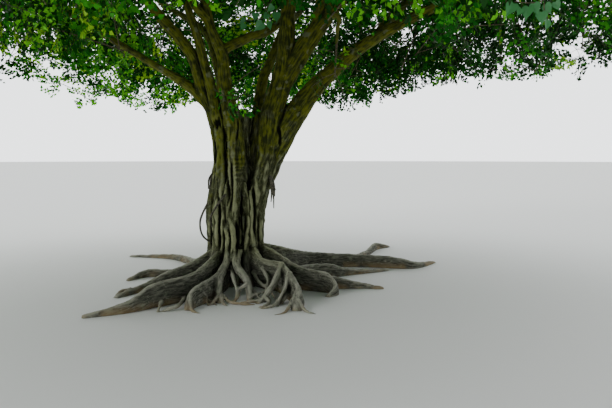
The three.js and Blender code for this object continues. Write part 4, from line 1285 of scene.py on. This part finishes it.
def spray_parts(sprays, twiglets, leaves, leaf_length, local):
    """Corners of the twiglets and leaves of many like sprays, and the spray of each leaf."""
    root, direction, normal = (np.array([s[k] for s in sprays]) for k in range(3))
    length = np.array([s[3] for s in sprays])
    across = np.cross(normal, direction)
    count = len(sprays)

    def axis_at(share):
        bent = root[:, None] + direction[:, None] * (share * length[:, None])[..., None]
        bent = bent - normal[:, None] * (SPRAY_BEND * share**2 * length[:, None])[..., None]
        bent[..., 2] -= SPRAY_BEND * share**2 * length[:, None]
        return bent

    # The twiglets leave by turns to either side, and are longest where a leaf would be widest.
    out = (np.arange(twiglets) + local.uniform(0, 0.7, (count, twiglets))) / twiglets
    out = TWIGLETS_FROM + TWIGLETS_OVER * out
    sign = np.where(np.arange(twiglets) % 2, 1.0, -1.0)[None, :, None]
    full = np.where(out < LEAF_BELLY, (out / LEAF_BELLY) ** 0.6, ((1 - out) / (1 - LEAF_BELLY)) ** 0.7)
    reach = LEAF_WIDTH / 2 * (0.2 + 0.8 * full) * length[:, None] / math.sin(SPRAY_ANGLE)
    base = axis_at(out)
    way = direction[:, None] * math.cos(SPRAY_ANGLE) + across[:, None] * sign * math.sin(SPRAY_ANGLE)
    way = unit(way + local.normal(0, TWIGLET_WANDER, (count, twiglets, 3)))
    tips = base + way * reach[..., None]
    tips[..., 2] -= TWIGLET_FALL * reach

    # The leaves stand by turns along each twiglet, and a few more fan out from the spray's end.
    along = (np.arange(leaves) + 0.75 + local.uniform(-0.2, 0.2, (count, twiglets, leaves))) / leaves
    along = np.minimum(along, 1)[..., None]
    leaf_root = base[:, :, None] * (1 - along) + tips[:, :, None] * along
    leaf_side = np.where(np.arange(leaves) % 2, 1.0, -1.0)[None, None, :, None]
    side_way = np.cross(normal[:, None], way)
    leaf_way = way[:, :, None] + side_way[:, :, None] * leaf_side * LEAF_SPREAD
    end_share = 0.9 + local.uniform(0, 0.1, (count, leaves))
    end_way = direction[:, None] + across[:, None] * (np.linspace(-0.9, 0.9, leaves)[None, :, None])
    leaf_root = np.concatenate([leaf_root.reshape(count, -1, 3), axis_at(end_share)], 1)
    leaf_way = np.concatenate([leaf_way.reshape(count, -1, 3), end_way], 1)
    leaf_way = leaf_way + local.normal(0, LEAF_WANDER, leaf_way.shape) + np.array([0, 0, -LEAF_FALL])
    leaf_way = unit(leaf_way)
    leaf_up = normal[:, None] + local.normal(0, LEAF_ROLL, leaf_way.shape)
    leaf_up = unit(leaf_up - leaf_way * np.sum(leaf_up * leaf_way, -1, keepdims=True))
    size = leaf_length * local.uniform(*LEAF_SIZES, leaf_way.shape[:2])
    owner = np.repeat(np.arange(count), leaf_way.shape[1])
    lines = np.stack([base, tips], 2).reshape(-1, 2, 3)
    spine = np.stack([axis_at(np.full((count, 1), s))[:, 0] for s in (0, 0.5, 1)], 1)
    flat = [array.reshape(-1, 3) for array in (leaf_root, leaf_way, leaf_up)]
    return lines, spine, *flat, size.ravel(), owner


# A leaf near the eye is six-cornered, and one in the mass of the crown is a folded kite.
LEAF_OUTLINE = np.array(
    [[0, 0, 0], [0.22, -0.33, 0.06], [0.6, -0.25, 0.03]]
    + [[1, 0, -0.09], [0.6, 0.25, 0.03], [0.22, 0.33, 0.06]]
)
LEAF_FACES = np.array([[0, 1, 2], [0, 2, 3], [0, 3, 4], [0, 4, 5]])
KITE_OUTLINE = np.array([[0, 0, 0], [0.36, -0.36, 0.07], [1, 0, -0.08], [0.36, 0.36, 0.07]])
KITE_FACES = np.array([[0, 1, 2], [0, 2, 3]])
NEAR = 4.6
# Each batch of like sprays: the twiglets on one, the leaves on a twiglet and a leaf's length.
batches = [
    spray_parts(big_sprays, 22, 8, 0.068, np.random.default_rng(3)),
    spray_parts(fine_sprays, 13, 6, 0.065, np.random.default_rng(4)),
    spray_parts(small_sprays, 3, 2, 0.055, np.random.default_rng(5)),
]
first_tree = tree_of(first_points)
# How much there is of each tint, from the deepest to the lightest: on the crown's surface, within
# it, where it is shaded, and left of the trunk, where light comes through. Tints are partly the leaves'
# own variation and partly painted shade and painted light: more deep tint where shade falls, more light
# tint within the crown and left of the trunk, as painted light passing through the leaves.
OUTER_SHARES = [0.3, 0.38, 0.24, 0.07, 0.01]
INNER_SHARES = [0.26, 0.33, 0.24, 0.13, 0.04]
SHADED_SHARES = [0.54, 0.29, 0.11, 0.05, 0.01]
LEFT_SHARES = [0.16, 0.24, 0.22, 0.23, 0.15]
INNER_OUT, INNER_TOP = 0.8, 3.3
SUNKEN_SURFACE, SUNKEN_DEPTH = 0.91, 0.09
LEFT_EDGE, RIGHT_EDGE = -0.9, 1.1
STRAYS = 0.3
roots, ways, ups, sizes, tints = [], [], [], [], []
for lines, spine, leaf_root, leaf_way, leaf_up, size, owner in batches:
    middle = spine[:, 1]
    out, surface = outness_of_dome(middle), swell(middle)
    inner = (out < INNER_OUT) | (middle[:, 2] < INNER_TOP)
    shaded = inner & (middle[:, 0] > RIGHT_EDGE)
    shaded |= inner & (middle[:, 0] > 0.2) & (middle[:, 1] < -1.4)
    shaded |= np.linalg.norm(middle - np.array(EYE), axis=1) < NEAR
    tint = leaf_tint.choice(5, len(spine), p=OUTER_SHARES)
    for here, shares in (
        ((surface < SUNKEN_SURFACE) | (out < surface - SUNKEN_DEPTH), SHADED_SHARES),
        (inner, INNER_SHARES),
        (inner & (middle[:, 0] < LEFT_EDGE), LEFT_SHARES),
        (shaded, SHADED_SHARES),
    ):
        tint = np.where(here, leaf_tint.choice(5, len(spine), p=shares), tint)
    strays = leaf_tint.random(len(owner)) < STRAYS
    tint = np.where(strays, leaf_tint.choice(5, len(owner), p=OUTER_SHARES), tint[owner])
    tip = leaf_root + leaf_way * size[:, None]
    fine = in_box(tip) & in_box(leaf_root)
    if len(spine) == len(fine_sprays):
        fine &= in_crown(tip, first_tree) & in_crown(leaf_root, first_tree)
    fine &= clear_of_limbs(leaf_root, 0.0) & clear_of_limbs(tip, 0.01)
    for kept, values in zip((roots, ways, ups, sizes, tints), (leaf_root, leaf_way, leaf_up, size, tint)):
        kept.append(values[fine])
roots, ways, ups = np.vstack(roots), np.vstack(ways), np.vstack(ups)
sizes, tints = np.concatenate(sizes), np.concatenate(tints)
# Leaf tints from deep to lightest: partly the leaves' own variation, partly painted shade (deep) and
# painted light through the leaves (lighter, backlit, lightest).
LEAVES = {
    "leaves_deep": (0.003, 0.044, 0.002, 1),
    "leaves_mid": (0.009, 0.12, 0.004, 1),
    "leaves_fresh": (0.036, 0.3, 0.008, 1),
    "leaves_backlit": (0.155, 0.6, 0.014, 1),
    "leaves_young": (0.38, 0.74, 0.03, 1),
}
foliage_nodes = [f"foliage_{name}" for name in masses]
quarters = (roots[:, 0] > CROWN_CENTRE[0]) + 2 * (roots[:, 1] > CROWN_CENTRE[1])
close = np.linalg.norm(roots - np.array(EYE), axis=1) < NEAR


def repeated(corners, faces):
    """Many like shapes as one pair of arrays, from the corners of each and the faces of one."""
    starts = math.prod(corners.shape[1:-1]) * np.arange(len(corners))[:, None, None]
    return corners.reshape(-1, 3), (faces[None] + starts).reshape(-1, 3)


def blades(mine, outline, faces):
    """Corners and triangles of the chosen leaves, all of one outline."""
    side = np.cross(ups[mine], ways[mine])
    placed = roots[mine][:, None] + sizes[mine][:, None, None] * (
        outline[None, :, :1] * ways[mine][:, None]
        + outline[None, :, 1:2] * side[:, None]
        + outline[None, :, 2:] * ups[mine][:, None]
    )
    return repeated(placed, faces)


for index, (name, colour) in enumerate(LEAVES.items()):
    blade = Finish(name).shade({"Base Color": colour, "Roughness": 0.55, "Specular IOR Level": 0.12})
    for quarter, label in enumerate(("front_left", "front_right", "back_left", "back_right")):
        mine = (tints == index) & (quarters == quarter)
        near_ones = blades(mine & close, LEAF_OUTLINE, LEAF_FACES)
        far_ones = blades(mine & ~close, KITE_OUTLINE, KITE_FACES)
        add_piece(f"{name}_{label}", *stacked([near_ones, far_ones]), blade, "foliage", foliage_nodes)

# A twig is as thick as what it carries asks for, and narrows to its tip.
THINNEST, THICKER, NARROWING = 0.006, 0.0035, 0.6
shapes = []
for twig in twigs:
    thick = twig.width or THINNEST + THICKER * math.sqrt(twig.carries)
    twig.limb.widths = np.array([thick, thick * NARROWING])
    shapes.append(tube(twig.limb, 6, 5))
twig_bark = twig_finish("twig_bark", (0.06, 0.05, 0.03), (0.17, 0.14, 0.08), 45.0)
add_piece("crown_twigs", *stacked(shapes), twig_bark, "foliage", foliage_nodes)


def slivers(lines, widths):
    """Three-sided tubes along many lines of a few points each, or spikes where the line is straight."""
    out = round_ways(unit(lines[:, -1] - lines[:, 0]), 3)
    corners = lines[:, :, None] + out[:, None] * (np.array(widths) / 2)[None, :, None, None]
    if lines.shape[1] > 2:
        return repeated(corners, tube_faces(lines.shape[1], 3, closed=False))
    spikes = np.concatenate([corners[:, 0], lines[:, 1:]], 1)
    return repeated(spikes, np.array([[0, 1, 3], [1, 2, 3], [2, 0, 3]]))


twiglet_bark = twig_finish("twiglet_bark", (0.03, 0.05, 0.012), (0.09, 0.12, 0.03), 60.0)
for label, sign in (("left", -1), ("right", 1)):
    halves = []
    for lines, spine, *_ in batches:
        for rods, widths in ((lines, [0.005, 0.003]), (spine, [0.009, 0.007, 0.004])):
            here = (rods[:, 0, 0] < 0.2) == (sign < 0)
            inside = in_box(rods[:, -1])
            if len(spine) == len(fine_sprays):
                inside &= in_crown(rods[:, -1], first_tree)
            halves.append(slivers(rods[here & inside], widths))
    add_piece(f"twiglets_{label}", *stacked(halves), twiglet_bark, "foliage", foliage_nodes)

# Old leaves on thin shoots near the eye, larger than the rest, heart-shaped and bluish green, the bluish
# partly their own colour and partly a painted sky sheen, each with a thin stalk to the nearest shoot.
# They stand where the photograph shows them.
OLD_TILT = 0.35
# Half of a heart's edge from its stalk to its tip, along and across.
HEART_EDGE = [(0.06, 0), (-0.03, 0.18), (0.09, 0.36), (0.3, 0.39), (0.56, 0.25), (0.78, 0.07), (1, 0)]
# Each leaf: its base and its drip tip, in millimetres.
OLD_LEAVES = [
    [[165, -480, 3135], [110, -500, 3050]], [[160, -480, 3195], [95, -500, 3115]],
    [[295, -480, 3260], [275, -500, 3150]], [[375, -480, 3150], [270, -500, 3035]],
    [[455, -480, 3160], [460, -500, 3045]], [[495, -480, 3345], [430, -500, 3260]],
    [[435, -480, 3250], [380, -500, 3170]], [[535, -480, 3265], [535, -500, 3135]],
    [[2280, -3500, 2620], [2220, -3520, 2525]], [[2380, -3500, 2600], [2350, -3520, 2495]],
    [[2410, -3500, 2620], [2440, -3520, 2530]], [[2490, -3500, 2615], [2525, -3520, 2535]],
    [[2465, -3500, 2565], [2465, -3520, 2465]], [[2510, -3500, 2510], [2495, -3520, 2430]],
    [[2330, -3500, 2585], [2295, -3520, 2530]], [[2555, -3500, 2630], [2580, -3520, 2560]],
]
OLD_SHOOTS = [
    [[640, -300, 3430], [435, -470, 3225], [295, -480, 3180], [175, -480, 3165]],
    [[2640, -3420, 2900], [2485, -3500, 2640], [2385, -3500, 2620], [2285, -3500, 2630]],
    [[2600, -3430, 2840], [2485, -3500, 2630], [2485, -3500, 2570], [2510, -3500, 2515]],
]
HEART_FACES = np.array([[0, k, k + 1] for k in range(1, 11)])
halfway = [(along, across, 0.15 * across - 0.1 * along**2) for along, across in HEART_EDGE]
HEART_OUTLINE = np.array(halfway + [(along, -across, up) for along, across, up in halfway[5:0:-1]])
old_tilt = np.random.default_rng(12)
shoots = [Limb(course, [10, 5]) for course in OLD_SHOOTS]
along_shoots = np.vstack([shoot.at(np.linspace(0.3, 1, 30)) for shoot in shoots])
leaf_shapes, stalks = [], []
for base, tip in np.array(OLD_LEAVES) / 1000:
    size = np.linalg.norm(tip - base)
    ahead = (tip - base) / size
    face = unit(np.array(EYE) - base) + old_tilt.normal(0, OLD_TILT, 3)
    face = unit(face - ahead * np.dot(face, ahead))
    placed = base + size * HEART_OUTLINE @ np.stack([ahead, np.cross(face, ahead), face])
    leaf_shapes.append((placed, HEART_FACES))
    stalks.append([along_shoots[np.linalg.norm(along_shoots - base, axis=1).argmin()], base])
# The bluish green base colour is partly the leaves' own and partly a painted sheen of sky light on glossy
# leaves.
old_leaf = Finish("old_leaf").shade({"Base Color": (0.045, 0.235, 0.065, 1), "Roughness": 0.38})
add_piece("old_leaves", *stacked(leaf_shapes), old_leaf, "foliage", foliage_nodes)
shoot_shapes = [tube(shoot, 8, 5) for shoot in shoots]
shoot_shapes.append(slivers(np.array(stalks), [0.004, 0.003]))
add_piece("old_shoots", *stacked(shoot_shapes), twig_bark, "foliage", foliage_nodes)

# The floor, the light and the camera. The floor is a plain pale disc, and the light is soft and
# white from all round, brightest behind the tree, with a low soft sun at the front left.
floor_mesh = bmesh.new()
bmesh.ops.create_circle(floor_mesh, segments=96, radius=150, cap_ends=True)
bmesh.ops.translate(floor_mesh, vec=(0, 0, -0.002), verts=floor_mesh.verts)
floor_data = bpy.data.meshes.new("floor")
floor_mesh.to_mesh(floor_data)
floor = bpy.data.objects.new("floor", floor_data)
bpy.context.scene.collection.objects.link(floor)
pale = Finish("floor_pale").shade({"Base Color": (0.72, 0.73, 0.7, 1), "Roughness": 0.9})
floor_data.materials.append(pale)

SKY_DIM, SKY_BRIGHT = 0.75, 2.8
SUN_STRENGTH, SUN_WIDTH, SUN_WAY = 1.3, 30, (0.75, 0.55, -0.36)
LENS, CAMERA_PITCH = 35, 85.292
world = bpy.data.worlds.new("studio")
bpy.context.scene.world = world
world.use_nodes = True
sky = world.node_tree.nodes["Background"]
sky.inputs["Color"].default_value = (0.95, 0.98, 1, 1)
way = world.node_tree.nodes.new("ShaderNodeTexCoord").outputs["Generated"]
axes = world.node_tree.nodes.new("ShaderNodeSeparateXYZ")
world.node_tree.links.new(way, axes.inputs[0])
strength = world.node_tree.nodes.new("ShaderNodeMapRange")
strength.interpolation_type = "SMOOTHSTEP"
world.node_tree.links.new(axes.outputs["Y"], strength.inputs["Value"])
for socket, value in {"From Min": -0.5, "From Max": 0.9, "To Min": SKY_DIM, "To Max": SKY_BRIGHT}.items():
    strength.inputs[socket].default_value = value
world.node_tree.links.new(strength.outputs[0], sky.inputs["Strength"])
sun = bpy.data.lights.new("soft_sun", "SUN")
sun.energy, sun.angle = SUN_STRENGTH, math.radians(SUN_WIDTH)
holder = bpy.data.objects.new("soft_sun", sun)
holder.rotation_euler = Vector(SUN_WAY).to_track_quat("-Z", "Y").to_euler()
bpy.context.scene.collection.objects.link(holder)

camera_data = bpy.data.cameras.new("camera")
camera_data.lens = LENS
camera = bpy.data.objects.new("camera", camera_data)
camera.location = EYE
camera.rotation_euler = (math.radians(CAMERA_PITCH), 0, 0)
bpy.context.scene.collection.objects.link(camera)
bpy.context.scene.camera = camera
